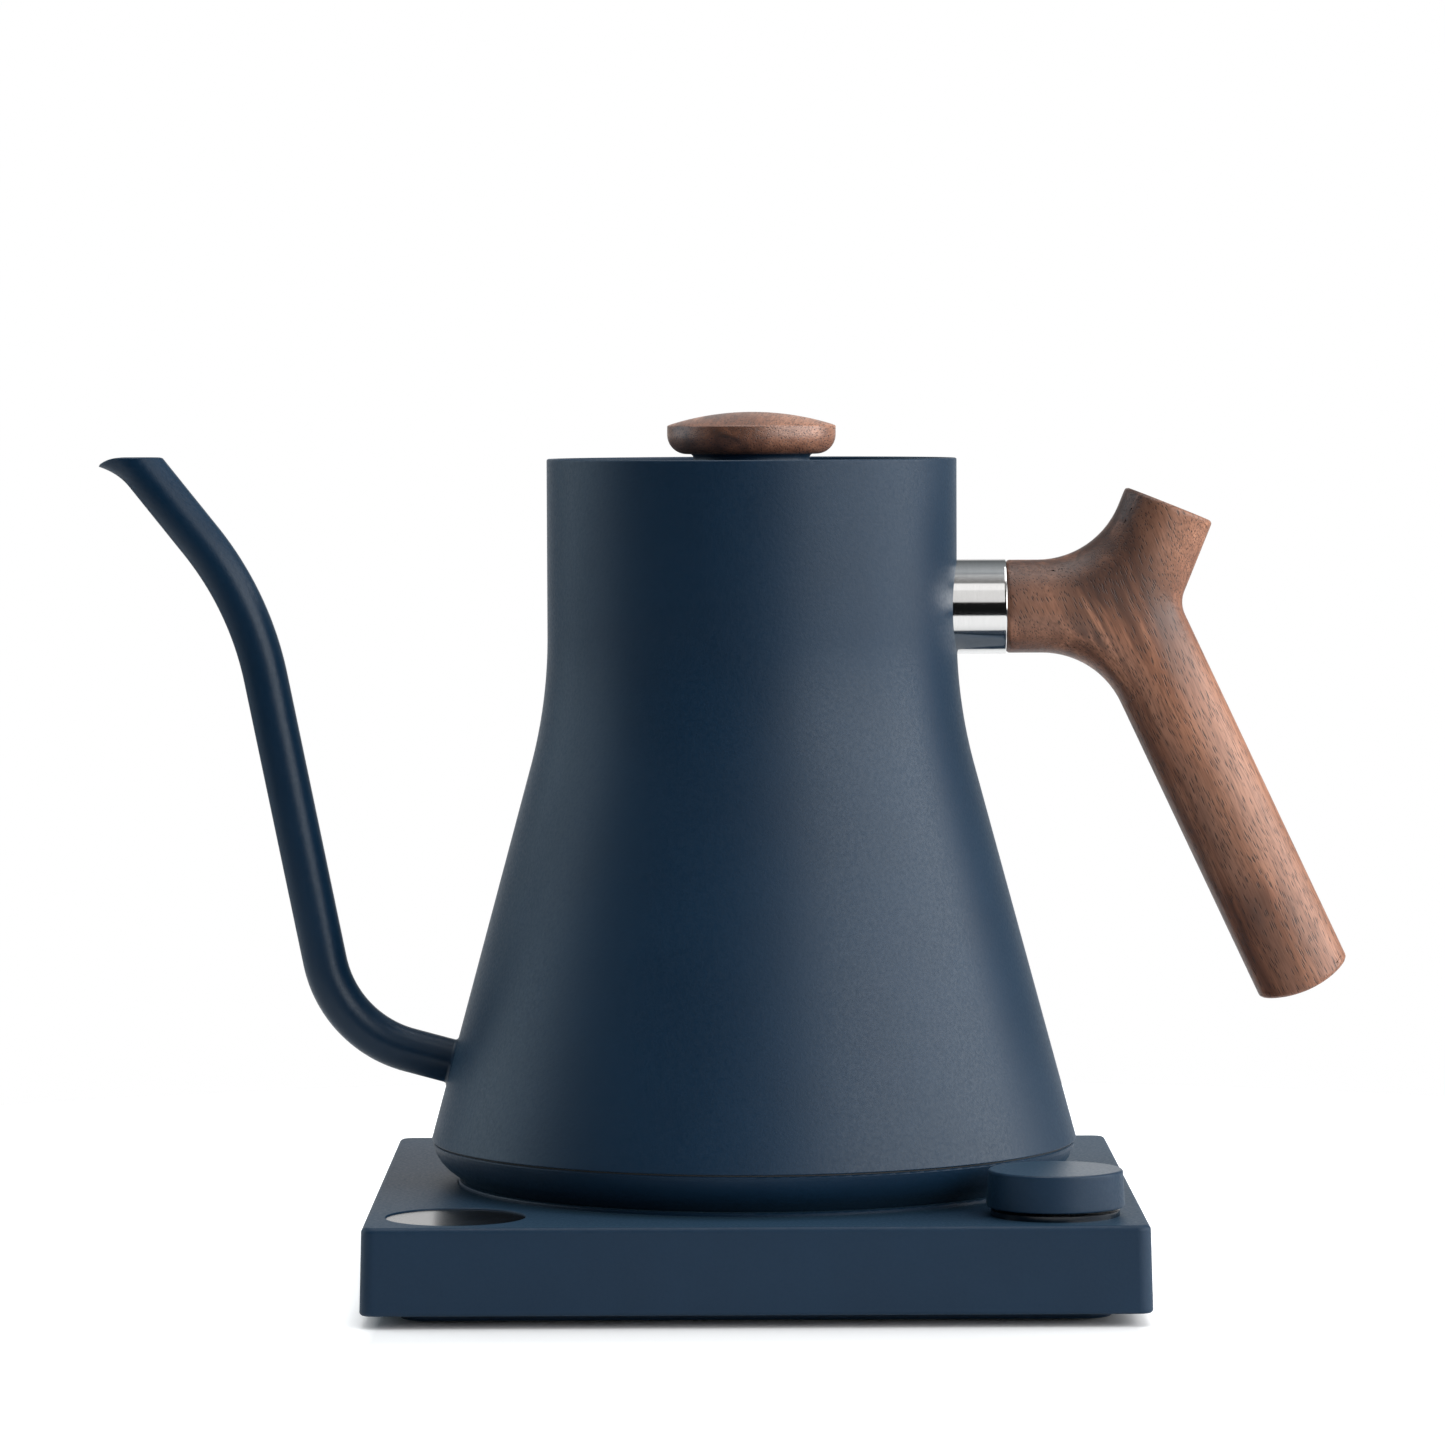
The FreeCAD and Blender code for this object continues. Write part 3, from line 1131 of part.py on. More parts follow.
def power_relay():
    x = -REAR_CONTROL_PLACE
    y = POWER_BOARD_FRONT + RELAY_DEPTH
    can = block(x - RELAY_WIDTH / 2, x + RELAY_WIDTH / 2, y - RELAY_DEPTH / 2, y + RELAY_DEPTH / 2,
                BOARD_TOP_Z, PART_TOP_Z)
    uprights = [e for e in can.Edges if e.BoundBox.ZLength > TOUCH]
    return can.makeFillet(PART_EDGE_ROUND, uprights)


def supply_transformer():
    """A wound core: bobbin flanges above and below a narrower winding."""
    x = POWER_BOARD_WIDTH / 4
    y = POWER_BOARD_FRONT + RIBBON_LAP + TRANSFORMER_DEPTH / 2 + POWER_PART_SPACE
    wide = TRANSFORMER_WIDTH / 2
    deep = TRANSFORMER_DEPTH / 2
    flange = TRANSFORMER_FLANGE
    core = block(x - wide, x + wide, y - deep, y + deep, BOARD_TOP_Z, BOARD_TOP_Z + flange)
    core = core.fuse(block(x - wide, x + wide, y - deep, y + deep, PART_TOP_Z - flange, PART_TOP_Z))
    return core.fuse(block(x - wide + flange, x + wide - flange, y - deep + flange, y + deep - flange,
                           BOARD_TOP_Z + flange, PART_TOP_Z - flange))


def filter_capacitor():
    y = POWER_BOARD_FRONT + CAPACITOR_RADIUS + POWER_PART_SPACE
    can = post(CAPACITOR_RADIUS, BOARD_TOP_Z, PART_TOP_Z, 0, y)
    return can.makeFillet(PART_EDGE_ROUND, edges_at_height(can, PART_TOP_Z))


def terminal_block():
    rear = BOARD_LIMIT - POWER_PART_SPACE
    half = TERMINAL_WIDTH / 2
    top = BOARD_TOP_Z + TERMINAL_HEIGHT
    body = block(-half, half, rear - TERMINAL_DEPTH, rear, BOARD_TOP_Z, top)
    middle = BOARD_TOP_Z + TERMINAL_HEIGHT / 2
    for i in (-1, 0, 1):
        x = i * TERMINAL_WIDTH / 3
        inlet = Vector(x, rear - TERMINAL_DEPTH / 2, middle)
        body = body.cut(rod(TERMINAL_HOLE, inlet, Vector(x, rear, middle)))
        body = body.cut(post(TERMINAL_HOLE, middle + TERMINAL_HOLE, top, x, rear - TERMINAL_DEPTH / 2))
    return body


# Rear wall
def cord_gland():
    neck = GLAND_BORE + GLAND_WALL
    seat = REAR_FACE - GLAND_SUNK
    face = REAR_FACE + GLAND_PROUD
    inner = CAVITY_HALF - GLAND_INNER_LENGTH
    gland = rear_rod(neck, inner, face)
    gland = gland.fuse(rear_rod(neck + GLAND_LIP, inner, CAVITY_HALF))
    lip = rear_rod(neck + GLAND_LIP, seat, face)
    lip_edge = [e for e in lip.Edges if abs(e.BoundBox.YMin - face) < TOUCH]
    gland = gland.fuse(lip.makeFillet(GLAND_LIP_ROUND, lip_edge))
    return gland.cut(rear_rod(GLAND_BORE, inner, face)).removeSplitter()


def hold_slider():
    """A tab in the slot and the flange behind the wall, at the left end of its travel."""
    x = -REAR_CONTROL_PLACE - SLIDER_TRAVEL / 2
    half = SLIDER_WIDTH / 2
    rise = SLIDER_HEIGHT / 2
    flange = SLOT_HALF + SLIDER_TRAVEL / 2 + SLIDER_FLANGE_LAP
    flange_rise = rise + SLIDE_GAP + SLIDER_FLANGE_LAP
    face = REAR_FACE + REAR_CONTROL_PROUD
    tab = block(x - half, x + half, REAR_FLANGE_FACE, face, REAR_Z - rise, REAR_Z + rise)
    keeper = block(x - flange, x + flange, REAR_FLANGE_BACK, REAR_FLANGE_FACE,
                   REAR_Z - flange_rise, REAR_Z + flange_rise)
    return tab.fuse(keeper)


def unit_button():
    x = REAR_CONTROL_PLACE
    cap = rear_rod(BUTTON_RADIUS, REAR_FLANGE_FACE, REAR_FACE + REAR_CONTROL_PROUD, x)
    face_edge = [e for e in cap.Edges if abs(e.BoundBox.YMin - REAR_FACE - REAR_CONTROL_PROUD) < TOUCH]
    cap = cap.makeFillet(BUTTON_ROUND, face_edge)
    return cap.fuse(rear_rod(BUTTON_RADIUS + BUTTON_LIP, REAR_FLANGE_BACK, REAR_FLANGE_FACE, x))


def rear_switch(x, gap):
    front = REAR_FLANGE_BACK - gap
    half = SWITCH_WIDTH / 2
    return block(x - half, x + half, front - SWITCH_DEPTH, front, BOARD_TOP_Z, REAR_Z + SWITCH_RISE)


def hold_switch():
    return rear_switch(-REAR_CONTROL_PLACE, SWITCH_GAP)


def unit_switch():
    return rear_switch(REAR_CONTROL_PLACE, SWITCH_GAP + BUTTON_TRAVEL)


PIECES = [
    base_shell, base_plate, rubber_feet, base_screws, dock_plate,
    base_socket, socket_contacts, socket_screws,
    control_board, power_board, board_screws, ribbon_cable,
    power_relay, supply_transformer, filter_capacitor, terminal_block,
    display_lens, display_module, knob_ring, encoder_body, encoder_nut,
    push_plunger, encoder_shaft, control_knob,
    cord_gland, hold_slider, hold_switch, unit_button, unit_switch,
    kettle_body, spout, handle_ferrule, handle_stud, handle_insert, handle,
    base_cup, cup_seal, cup_studs, cup_screws,
    heater_plate, spreader_plate, heating_element, thermal_cutouts, temp_probe, probe_seal,
    kettle_plug, plug_contacts, plug_screws,
    lid_collar, lid_plate, lid_seal, lid_pedestal, lid_knob, lid_insert, lid_screw,
]

os.makedirs("parts", exist_ok=True)
for piece in PIECES:
    piece().exportStep(os.path.join("parts", piece.__name__ + ".step"))
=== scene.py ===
"""Looks of an electric pouring kettle on its square heating base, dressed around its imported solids."""

import json
import math

import bmesh
import bpy
import numpy as np
from bpy.props import FloatProperty, FloatVectorProperty, PointerProperty
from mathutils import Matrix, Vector


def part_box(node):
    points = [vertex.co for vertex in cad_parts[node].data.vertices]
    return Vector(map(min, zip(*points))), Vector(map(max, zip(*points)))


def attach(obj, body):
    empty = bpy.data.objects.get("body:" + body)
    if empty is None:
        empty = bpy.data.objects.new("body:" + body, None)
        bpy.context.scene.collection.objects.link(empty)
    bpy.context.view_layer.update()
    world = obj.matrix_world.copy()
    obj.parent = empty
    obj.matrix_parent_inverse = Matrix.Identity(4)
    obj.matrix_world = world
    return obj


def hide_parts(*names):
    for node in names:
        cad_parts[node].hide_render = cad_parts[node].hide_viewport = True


bl_info = {
    "name": "Pouring kettle",
    "version": (1, 0, 0),
    "blender": (4, 5, 0),
    "location": "View3D > Sidebar > Kettle",
    "description": "Dresses an electric pouring kettle and its heating base",
    "category": "Add Mesh",
}

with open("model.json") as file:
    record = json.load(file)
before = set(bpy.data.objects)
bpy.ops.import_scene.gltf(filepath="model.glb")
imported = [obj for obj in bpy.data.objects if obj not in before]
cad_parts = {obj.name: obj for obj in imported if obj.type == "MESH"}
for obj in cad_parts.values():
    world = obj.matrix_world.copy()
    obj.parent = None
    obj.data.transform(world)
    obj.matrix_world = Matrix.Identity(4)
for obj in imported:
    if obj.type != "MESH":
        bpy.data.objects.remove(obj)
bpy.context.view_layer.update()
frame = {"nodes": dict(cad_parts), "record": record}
NODES = frame["nodes"]
BODY_LOW, BODY_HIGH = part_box("kettle_body")
FERRULE_LOW, FERRULE_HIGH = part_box("handle_ferrule")
LID_KNOB_LOW, LID_KNOB_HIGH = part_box("lid_knob")

FINISHES = {}                    # by name, once the first operator has made them
TOUCH = 1e-6                     # lengths below this count as nothing
SHARP_ANGLE = math.radians(32)   # edges that turn more than this stay sharp

# Faces round each kind of turned or swept piece
LATHE_SPANS = 192
SLEEVE_SPANS = 96
SPOUT_SPANS = 72
PORT_SPANS = 48

# Faces across small rounds and across the lid knob's dome
BEAD_STEPS = 4
DOME_STEPS = 24

# Carving of the handle: grid of the blank, passes, share of each step taken and least squared slope
CARVE_GRID = 0.0008
CARVE_PASSES = 14
CARVE_PACE = 0.8
CARVE_LEAST_SLOPE = 0.05


# Settings that a user would change
def length(name, description, default):
    return FloatProperty(name=name, description=description, default=default, unit="LENGTH", precision=5)


def angle(name, description, degrees):
    return FloatProperty(name=name, description=description, default=math.radians(degrees), subtype="ANGLE")


def share(name, description, default):
    return FloatProperty(name=name, description=description, default=default, min=0, max=1, subtype="FACTOR")


def colour(name, description, default):
    return FloatVectorProperty(name=name, description=description, default=default, size=3, min=0, max=1,
                               subtype="COLOR")


def power(name, description, default):
    return FloatProperty(name=name, description=description, default=default, min=0, unit="POWER")


class BodySizes(bpy.types.PropertyGroup):
    """The drawn steel body."""
    foot_radius: length("Foot radius", "Outside of the flared foot", BODY_HIGH.y)
    foot_height: length("Foot height", "Lower edge of the body above the table", BODY_LOW.z)
    rim_height: length("Rim height", "Rim of the neck above the table", BODY_HIGH.z)
    neck_radius: length("Neck radius", "Outside of the straight neck", 0.0473)
    shoulder_drop: length("Shoulder drop", "From the rim down to where neck and cone would meet", 0.0561)
    shoulder_radius: length("Shoulder radius", "Radius of the sweep from neck to cone", 0.115)
    wall: length("Wall", "Thickness of the drawn sheet", 0.001)
    edge_round: length("Edge round", "Radius of the rim's rolled edges", 0.00042)


class SpoutSizes(bpy.types.PropertyGroup):
    """The bent spout and its drawn lip."""
    diameter: length("Diameter", "Outside of the tube", 0.0102)
    wall: length("Wall", "Thickness of the tube", 0.0009)
    root_rise: length("Root rise", "Axis of the root above the body's foot", 0.0178)
    run: length("Run", "From the wall out to the lower bend", 0.027)
    lower_bend: length("Lower bend", "Radius of the bend beside the body", 0.027)
    upper_bend: length("Upper bend", "Radius of the bend below the tip", 0.075)
    riser_lean: angle("Riser lean", "Lean of the long riser", 11.4)
    tip_lean: angle("Tip lean", "Lean of the tip", 38.5)
    tip_run: length("Tip run", "From the upper bend to the mouth", 0.0423)
    mouth_rise: length("Mouth rise", "Mouth above the rim", 0.0005)
    lip_start: length("Lip start", "Where the lip begins to open, short of the mouth", 0.0042)
    lip_length: length("Lip length", "Length over which the lip opens", 0.0079)
    lip_flare: length("Lip flare", "How far the lip is drawn forward", 0.0026)
    droop_start: length("Droop start", "Where the mouth's edge begins to droop, in front of its axis", 0.0027)
    droop_radius: length("Droop radius", "Radius of the drooping edge", 0.009)
    bead: length("Bead", "Width of the braze fillet at the root", 0.0007)


class HandleSizes(bpy.types.PropertyGroup):
    """The forked walnut handle and its ferrule."""
    stem_height: length("Stem height", "Axis of the stem above the table",
                        (FERRULE_LOW.z + FERRULE_HIGH.z) / 2)
    stem_start: length("Stem start", "Where wood and ferrule meet", FERRULE_HIGH.x)
    depth: length("Depth", "Thickness from front to back", FERRULE_HIGH.z - FERRULE_LOW.z)
    stem: length("Stem", "From the ferrule to the fork", 0.0283)
    grip: length("Grip", "From the fork to the grip's end", 0.0953)
    grip_width: length("Grip width", "Width of the grip", 0.0225)
    grip_lean: angle("Grip lean", "Lean of the grip", 25.2)
    grip_crown: length("Grip crown", "Bulge of the grip's end", 0.002)
    stub: length("Stub", "From the fork to the stub's end", 0.0253)
    stub_width: length("Stub width", "Width of the stub", 0.022)
    stub_lean: angle("Stub lean", "Lean of the stub", 22.0)
    arm_fillet: length("Arm fillet", "Sweep between the stem and its two arms", 0.020)
    notch_fillet: length("Notch fillet", "Round of the notch between grip and stub", 0.0065)
    end_round: length("End round", "Round of the cut ends", 0.0009)
    softening: length("Softening", "Width over which flats melt into rounds", 0.003)


class LidSizes(bpy.types.PropertyGroup):
    """The turned lid knob."""
    rim_height: length("Rim height", "Height of the knob's upright rim", 0.0066)
    under_round: length("Under round", "Round below the rim", 0.0045)
    top_round: length("Top round", "Round above the rim", 0.0004)


class DialSizes(bpy.types.PropertyGroup):
    """The control dial."""
    draft: length("Draft", "How much smaller the face is than the foot", 0.00045)
    wall: length("Wall", "Thickness of the skirt", 0.0016)
    face: length("Face", "Thickness under the face", 0.0025)
    edge: length("Edge", "Round of the lower edge", 0.0003)
    round: length("Round", "Round of the face's edge", 0.0006)


class Colours(bpy.types.PropertyGroup):
    """Colours of the finishes."""
    coat_dark: colour("Coat, dark", "Darker cloud of the navy powder coat", (0.0022, 0.0168, 0.0408))
    coat_light: colour("Coat, light", "Lighter cloud of the navy powder coat", (0.0027, 0.0190, 0.0454))
    coat_gloss: colour("Coat gloss", "Tint of the coat's gloss", (0.92, 0.97, 1.0))
    coat_bloom: colour("Coat bloom", "Tint of the coat's soft bloom at a slant", (0.35, 0.72, 1.0))
    # The dark and light walnut tones also colour the handle's marks of painted shade and painted light
    walnut_dark: colour("Walnut, dark", "Late wood and heart streaks", (0.054, 0.0280, 0.0215))
    walnut_middle: colour("Walnut, middle", "Most of the walnut", (0.255, 0.1060, 0.0600))
    walnut_light: colour("Walnut, light", "Early wood", (0.560, 0.2650, 0.1600))
    steel: colour("Steel", "Polished steel", (0.68, 0.67, 0.66))


class StageSettings(bpy.types.PropertyGroup):
    """Floor, lamps and camera."""
    floor_colour: colour("Floor", "Colour of the floor", (0.86, 0.86, 0.86))
    floor_radius: length("Floor radius", "How far the floor reaches", 0.42)
    # The floor's painted glow, held back next to the base so that a painted shade band stays there
    painted_floor_glow: share("Floor glow", "How far the floor is lifted towards white away from the object", 0.6)
    key_power: power("Key", "Large soft lamp at the right", 29.5)
    fill_power: power("Fill", "Soft lamp behind at the left", 4.4)
    top_power: power("Top", "Each of two soft lamps overhead", 5.2)
    high_power: power("High", "Soft lamp high above the camera", 2.0)
    strip_power: power("Strip", "Slim lamp above the camera, seen in the ferrule", 0.59)
    lens: FloatProperty(name="Lens", description="Focal length on a 36 mm sensor", default=158.3,
                        subtype="DISTANCE_CAMERA")
    camera_place: FloatVectorProperty(name="Camera", description="Where the camera stands",
                                      default=(-0.00664, -1.468, 0.2024), subtype="TRANSLATION")
    camera_pitch: angle("Pitch", "How far the camera looks down", 2.888)
    camera_roll: angle("Roll", "How far the camera leans to the right", 0.22)


class KettleSettings(bpy.types.PropertyGroup):
    """All settings of the kettle."""
    body: PointerProperty(type=BodySizes)
    spout: PointerProperty(type=SpoutSizes)
    handle: PointerProperty(type=HandleSizes)
    lid: PointerProperty(type=LidSizes)
    dial: PointerProperty(type=DialSizes)
    colours: PointerProperty(type=Colours)
    stage: PointerProperty(type=StageSettings)


# Shapes that many pieces share
def turns_round(spans):
    """Angles of evenly spaced points round a circle."""
    return [2 * math.pi * k / spans for k in range(spans)]


def quarter_turn(steps):
    """Evenly spaced angles from nought to a right angle."""
    return [math.pi / 2 * k / steps for k in range(steps + 1)]


def rounded(corners, steps=8, closed=False):
    """Points of an outline through corners (u, v) or (u, v, radius), with a tangent arc at each radius."""
    points = []
    count = len(corners)
    for i, corner in enumerate(corners):
        here = Vector(corner[:2])
        if len(corner) < 3 or (not closed and i in (0, count - 1)):
            points.append(here)
            continue
        back = (Vector(corners[i - 1][:2]) - here).normalized()
        ahead = (Vector(corners[(i + 1) % count][:2]) - here).normalized()
        half = back.angle(ahead) / 2
        centre = here + (back + ahead).normalized() * (corner[2] / math.sin(half))
        spoke = here + back * (corner[2] / math.tan(half)) - centre
        turn = math.copysign(math.pi - 2 * half, ahead.x * back.y - ahead.y * back.x)
        for k in range(steps + 1):
            swing = turn * k / steps
            points.append(centre + Vector((spoke.x * math.cos(swing) - spoke.y * math.sin(swing),
                                           spoke.x * math.sin(swing) + spoke.y * math.cos(swing))))
    return points


def spaced(points, spacing):
    """The same line with points added on its long straight runs."""
    found = [points[0]]
    for start, end in zip(points, points[1:]):
        spans = max(1, math.ceil((end - start).length / spacing))
        found += [start.lerp(end, k / spans) for k in range(1, spans + 1)]
    return found


def held(points, hold=0.0004, shortest=0.0025):
    """The same line with points beside the ends of its straight runs, which keep their shading flat."""
    found = [points[0]]
    for start, end in zip(points, points[1:]):
        run = end - start
        if run.length > shortest:
            found += [start + run.normalized() * hold, end - run.normalized() * hold]
        found.append(end)
    return found


def bridge(shape, first, second):
    """Faces between two rings of vertices, either of which may be a single vertex."""
    spans = max(len(first), len(second))
    for k in range(spans):
        ahead = (k + 1) % spans
        corners = (first[k % len(first)], first[ahead % len(first)],
                   second[ahead % len(second)], second[k % len(second)])
        shape.faces.new(list(dict.fromkeys(corners)))


def loft(rings, closed=False):
    """A skin through rings of points."""
    shape = bmesh.new()
    rows = [[shape.verts.new(point) for point in ring] for ring in rings]
    for first, second in zip(rows, rows[1:]):
        bridge(shape, first, second)
    if closed:
        bridge(shape, rows[-1], rows[0])
    return shape


def circle(radius, height, centre=(0.0, 0.0)):
    """A level ring of points, or one point where the radius is nothing."""
    if radius < TOUCH:
        return [(centre[0], centre[1], height)]
    return [(centre[0] + radius * math.cos(t), centre[1] + radius * math.sin(t), height)
            for t in turns_round(LATHE_SPANS)]


def lathe(profile, centre=(0.0, 0.0), closed=False):
    """A turned shape from an outline of (radius, height)."""
    return loft([circle(radius, height, centre) for radius, height in profile], closed)


def solve(gap, low, high, tries=40):
    """Where gap, which rises from below zero at low to above zero at high, crosses zero."""
    for _ in range(tries):
        middle = (low + high) / 2
        if gap(middle) < 0:
            low = middle
        else:
            high = middle
    return (low + high) / 2


def mesh_of(name, shape):
    """A mesh from a shape, with its faces turned outwards."""
    mesh = bpy.data.meshes.new(name)
    bmesh.ops.recalc_face_normals(shape, faces=shape.faces)
    shape.to_mesh(mesh)
    shape.free()
    return mesh


def link(name, data):
    """An object in the scene."""
    thing = bpy.data.objects.new(name, data)
    bpy.context.scene.collection.objects.link(thing)
    return thing


def worked(thing):
    """The mesh of an object with its modifiers applied."""
    return bpy.data.meshes.new_from_object(thing.evaluated_get(bpy.context.evaluated_depsgraph_get()))


def discard(thing):
    """Takes away a helping object and its mesh."""
    mesh = thing.data
    bpy.data.objects.remove(thing)
    bpy.data.meshes.remove(mesh)


def add_piece(name, shape, body, slot, *nodes, finish=None):
    """Links a shape or mesh as a piece that rides on a body, wears the finish of a slot and hides the CAD
    nodes it stands for.
    """
    mesh = shape if isinstance(shape, bpy.types.Mesh) else mesh_of(name, shape)
    mesh.shade_smooth()
    mesh.set_sharp_from_angle(angle=SHARP_ANGLE)
    mesh.materials.append(FINISHES[finish or slot])
    piece = link(name, mesh)
    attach(piece, body)
    if nodes:
        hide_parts(*nodes)
    return piece


# Finishes

# Coats: roughness, gloss and strength of the orange peel
COATS = {
    "navy_coat": (0.46, 0.34, 0.5),
    "spout_coat": (0.36, 0.28, 0.5),
    "navy_plastic": (0.50, 0.30, 0.5),
    "dial_face": (0.34, 0.55, 0.35),
}
# Metals: tone, roughness and spread of their working lines along X, Y and Z
METALS = {
    "plain_steel": ((0.52, 0.52, 0.53), 0.32, (1500.0,) * 3),
    "spreader_aluminium": ((0.70, 0.71, 0.72), 0.42, (700.0,) * 3),
    "contact_brass": ((0.70, 0.50, 0.22), 0.28, (1800.0,) * 3),
}
# Mouldings: darker tone, lighter tone, roughness, depth of the grain and any special gloss
MOULDINGS = {
    "black_plastic": ((0.012, 0.012, 0.013), (0.017, 0.017, 0.018), 0.48, 0.00003),
    "winding": ((0.28, 0.20, 0.05), (0.42, 0.31, 0.09), 0.40, 0.00006),
    "capacitor_sleeve": ((0.010, 0.016, 0.060), (0.014, 0.022, 0.080), 0.3, 0.00001),
    "ribbon_grey": ((0.24, 0.25, 0.27), (0.33, 0.34, 0.36), 0.5, 0.00004),
    "display_glass": ((0.004, 0.0045, 0.005), (0.006, 0.0065, 0.007), 0.20, 0.0000005, 1.0),
    "gloss_ring": ((0.001, 0.0045, 0.010), (0.002, 0.007, 0.014), 0.22, 0.000001),
    "soft_rubber": ((0.009, 0.011, 0.014), (0.013, 0.016, 0.020), 0.70, 0.00006),
}
# Dark marks of the handle, partly heart wood and partly painted shade on the wood's darker sides: place,
# reach and depth
HEART_AND_SHADE_MARKS = (
    ((0.1105, -0.010, 0.1075), 0.017, 0.60),
    ((0.1255, -0.008, 0.0770), 0.016, 0.50),
    ((0.0880, -0.008, 0.1770), 0.019, 0.95),
    ((0.0790, -0.008, 0.1670), 0.017, 0.85),
    ((0.0660, -0.009, 0.1630), 0.018, 0.90),
)
# Pale marks of the handle, partly sapwood and partly painted light on the wood's lighter sides, likewise
SAP_AND_LIGHT_MARKS = (
    ((0.1165, -0.006, 0.1110), 0.015, 0.50),
    ((0.1080, -0.007, 0.1300), 0.015, 0.50),
    ((0.1300, -0.006, 0.0830), 0.013, 0.40),
    ((0.0670, -0.010, 0.1530), 0.009, 0.35),
    ((0.0970, -0.009, 0.1720), 0.010, 0.40),
)
# Tone of the lid knob's walnut beside the handle's
LID_SHADE = 0.98


class Wiring:
    """A node tree in the making."""

    def __init__(self, tree):
        self.tree = tree

    def feed(self, node, sockets):
        """Sets sockets to plain values, or links them to other nodes' outputs."""
        for key, value in sockets.items():
            if isinstance(value, bpy.types.NodeSocket):
                self.tree.links.new(value, node.inputs[key])
            else:
                node.inputs[key].default_value = value

    def add(self, kind, sockets=None, **settings):
        node = self.tree.nodes.new("ShaderNode" + kind)
        for key, value in settings.items():
            setattr(node, key, value)
        self.feed(node, sockets or {})
        return node

    def ranged(self, value, to, over=(0.0, 1.0), **settings):
        """A value's range over, spread onto the range to."""
        node = self.add("MapRange", {"Value": value, "From Min": over[0], "From Max": over[1],
                                     "To Min": to[0], "To Max": to[1]}, **settings)
        return node.outputs["Result"]

    def math(self, operation, first, second):
        node = self.add("Math", {0: first, 1: second}, operation=operation)
        return node.outputs["Value"]


class Finish(Wiring):
    """A material in the making: each call adds a node in front of its surface shader."""

    def __init__(self, name, **sockets):
        self.material = bpy.data.materials.new(name)
        self.material.use_nodes = True
        super().__init__(self.material.node_tree)
        self.surface = self.tree.nodes["Principled BSDF"]
        self.feed(self.surface, {key.replace("_", " "): value for key, value in sockets.items()})
        self.place = self.add("TexCoord").outputs["Object"]

    def noise(self, scale, detail, vector=None, distortion=0.0):
        node = self.add("TexNoise", {"Vector": vector or self.place, "Scale": scale, "Detail": detail,
                                     "Distortion": distortion})
        return node.outputs["Fac"]

    def ramp(self, value, *stops):
        """Colours (position, r, g, b) along a value."""
        node = self.add("ValToRGB", {"Fac": value})
        elements = node.color_ramp.elements
        while len(elements) < len(stops):
            elements.new(1.0)
        for element, stop in zip(elements, stops):
            element.position = stop[0]
            element.color = (*stop[1:], 1.0)
        return node.outputs["Color"]

    def vector(self, operation, sockets):
        return self.add("VectorMath", sockets, operation=operation).outputs["Vector"]

    def mapped(self, vector, **sockets):
        """A vector moved, turned or stretched."""
        return self.add("Mapping", {"Vector": vector, **sockets}).outputs["Vector"]

    def mixed(self, share, first, second):
        node = self.add("Mix", {0: share, 6: first, 7: second}, data_type="RGBA")
        return node.outputs[2]

    def bumped(self, height, depth, strength, normal=None):
        sockets = {"Height": height, "Distance": depth, "Strength": strength}
        if normal:
            sockets["Normal"] = normal
        return self.add("Bump", sockets).outputs["Normal"]

    def done(self, colour, roughness, normal):
        self.feed(self.surface, {"Base Color": colour, "Roughness": roughness, "Normal": normal})
        return self.material


def shaded(tone, depth):
    """A colour for a socket, so much darker."""
    return (*(depth * c for c in tone), 1.0)


def coat_finish(name, colours, roughness, gloss, peeled):
    """Powder coat: faint clouds of tone, an orange-peel skin and fine speckle."""
    finish = Finish(name, Specular_IOR_Level=gloss, Specular_Tint=(*colours.coat_gloss, 1.0),
                    Sheen_Weight=0.05, Sheen_Roughness=0.5, Sheen_Tint=(*colours.coat_bloom, 1.0))
    cloud = finish.noise(scale=45.0, detail=4.0)
    peel = finish.noise(scale=1300.0, detail=3.0)
    speckle = finish.noise(scale=5200.0, detail=1.0)
    tone = finish.ramp(cloud, (0.35, *colours.coat_dark), (0.65, *colours.coat_light))
    skin = finish.bumped(peel, depth=0.00006, strength=peeled)
    skin = finish.bumped(speckle, depth=0.00001, strength=0.5, normal=skin)
    spread = 0.13 * peeled
    satin = finish.ranged(peel, to=(roughness - spread, roughness + spread), over=(0.3, 0.7))
    return finish.done(tone, satin, skin)


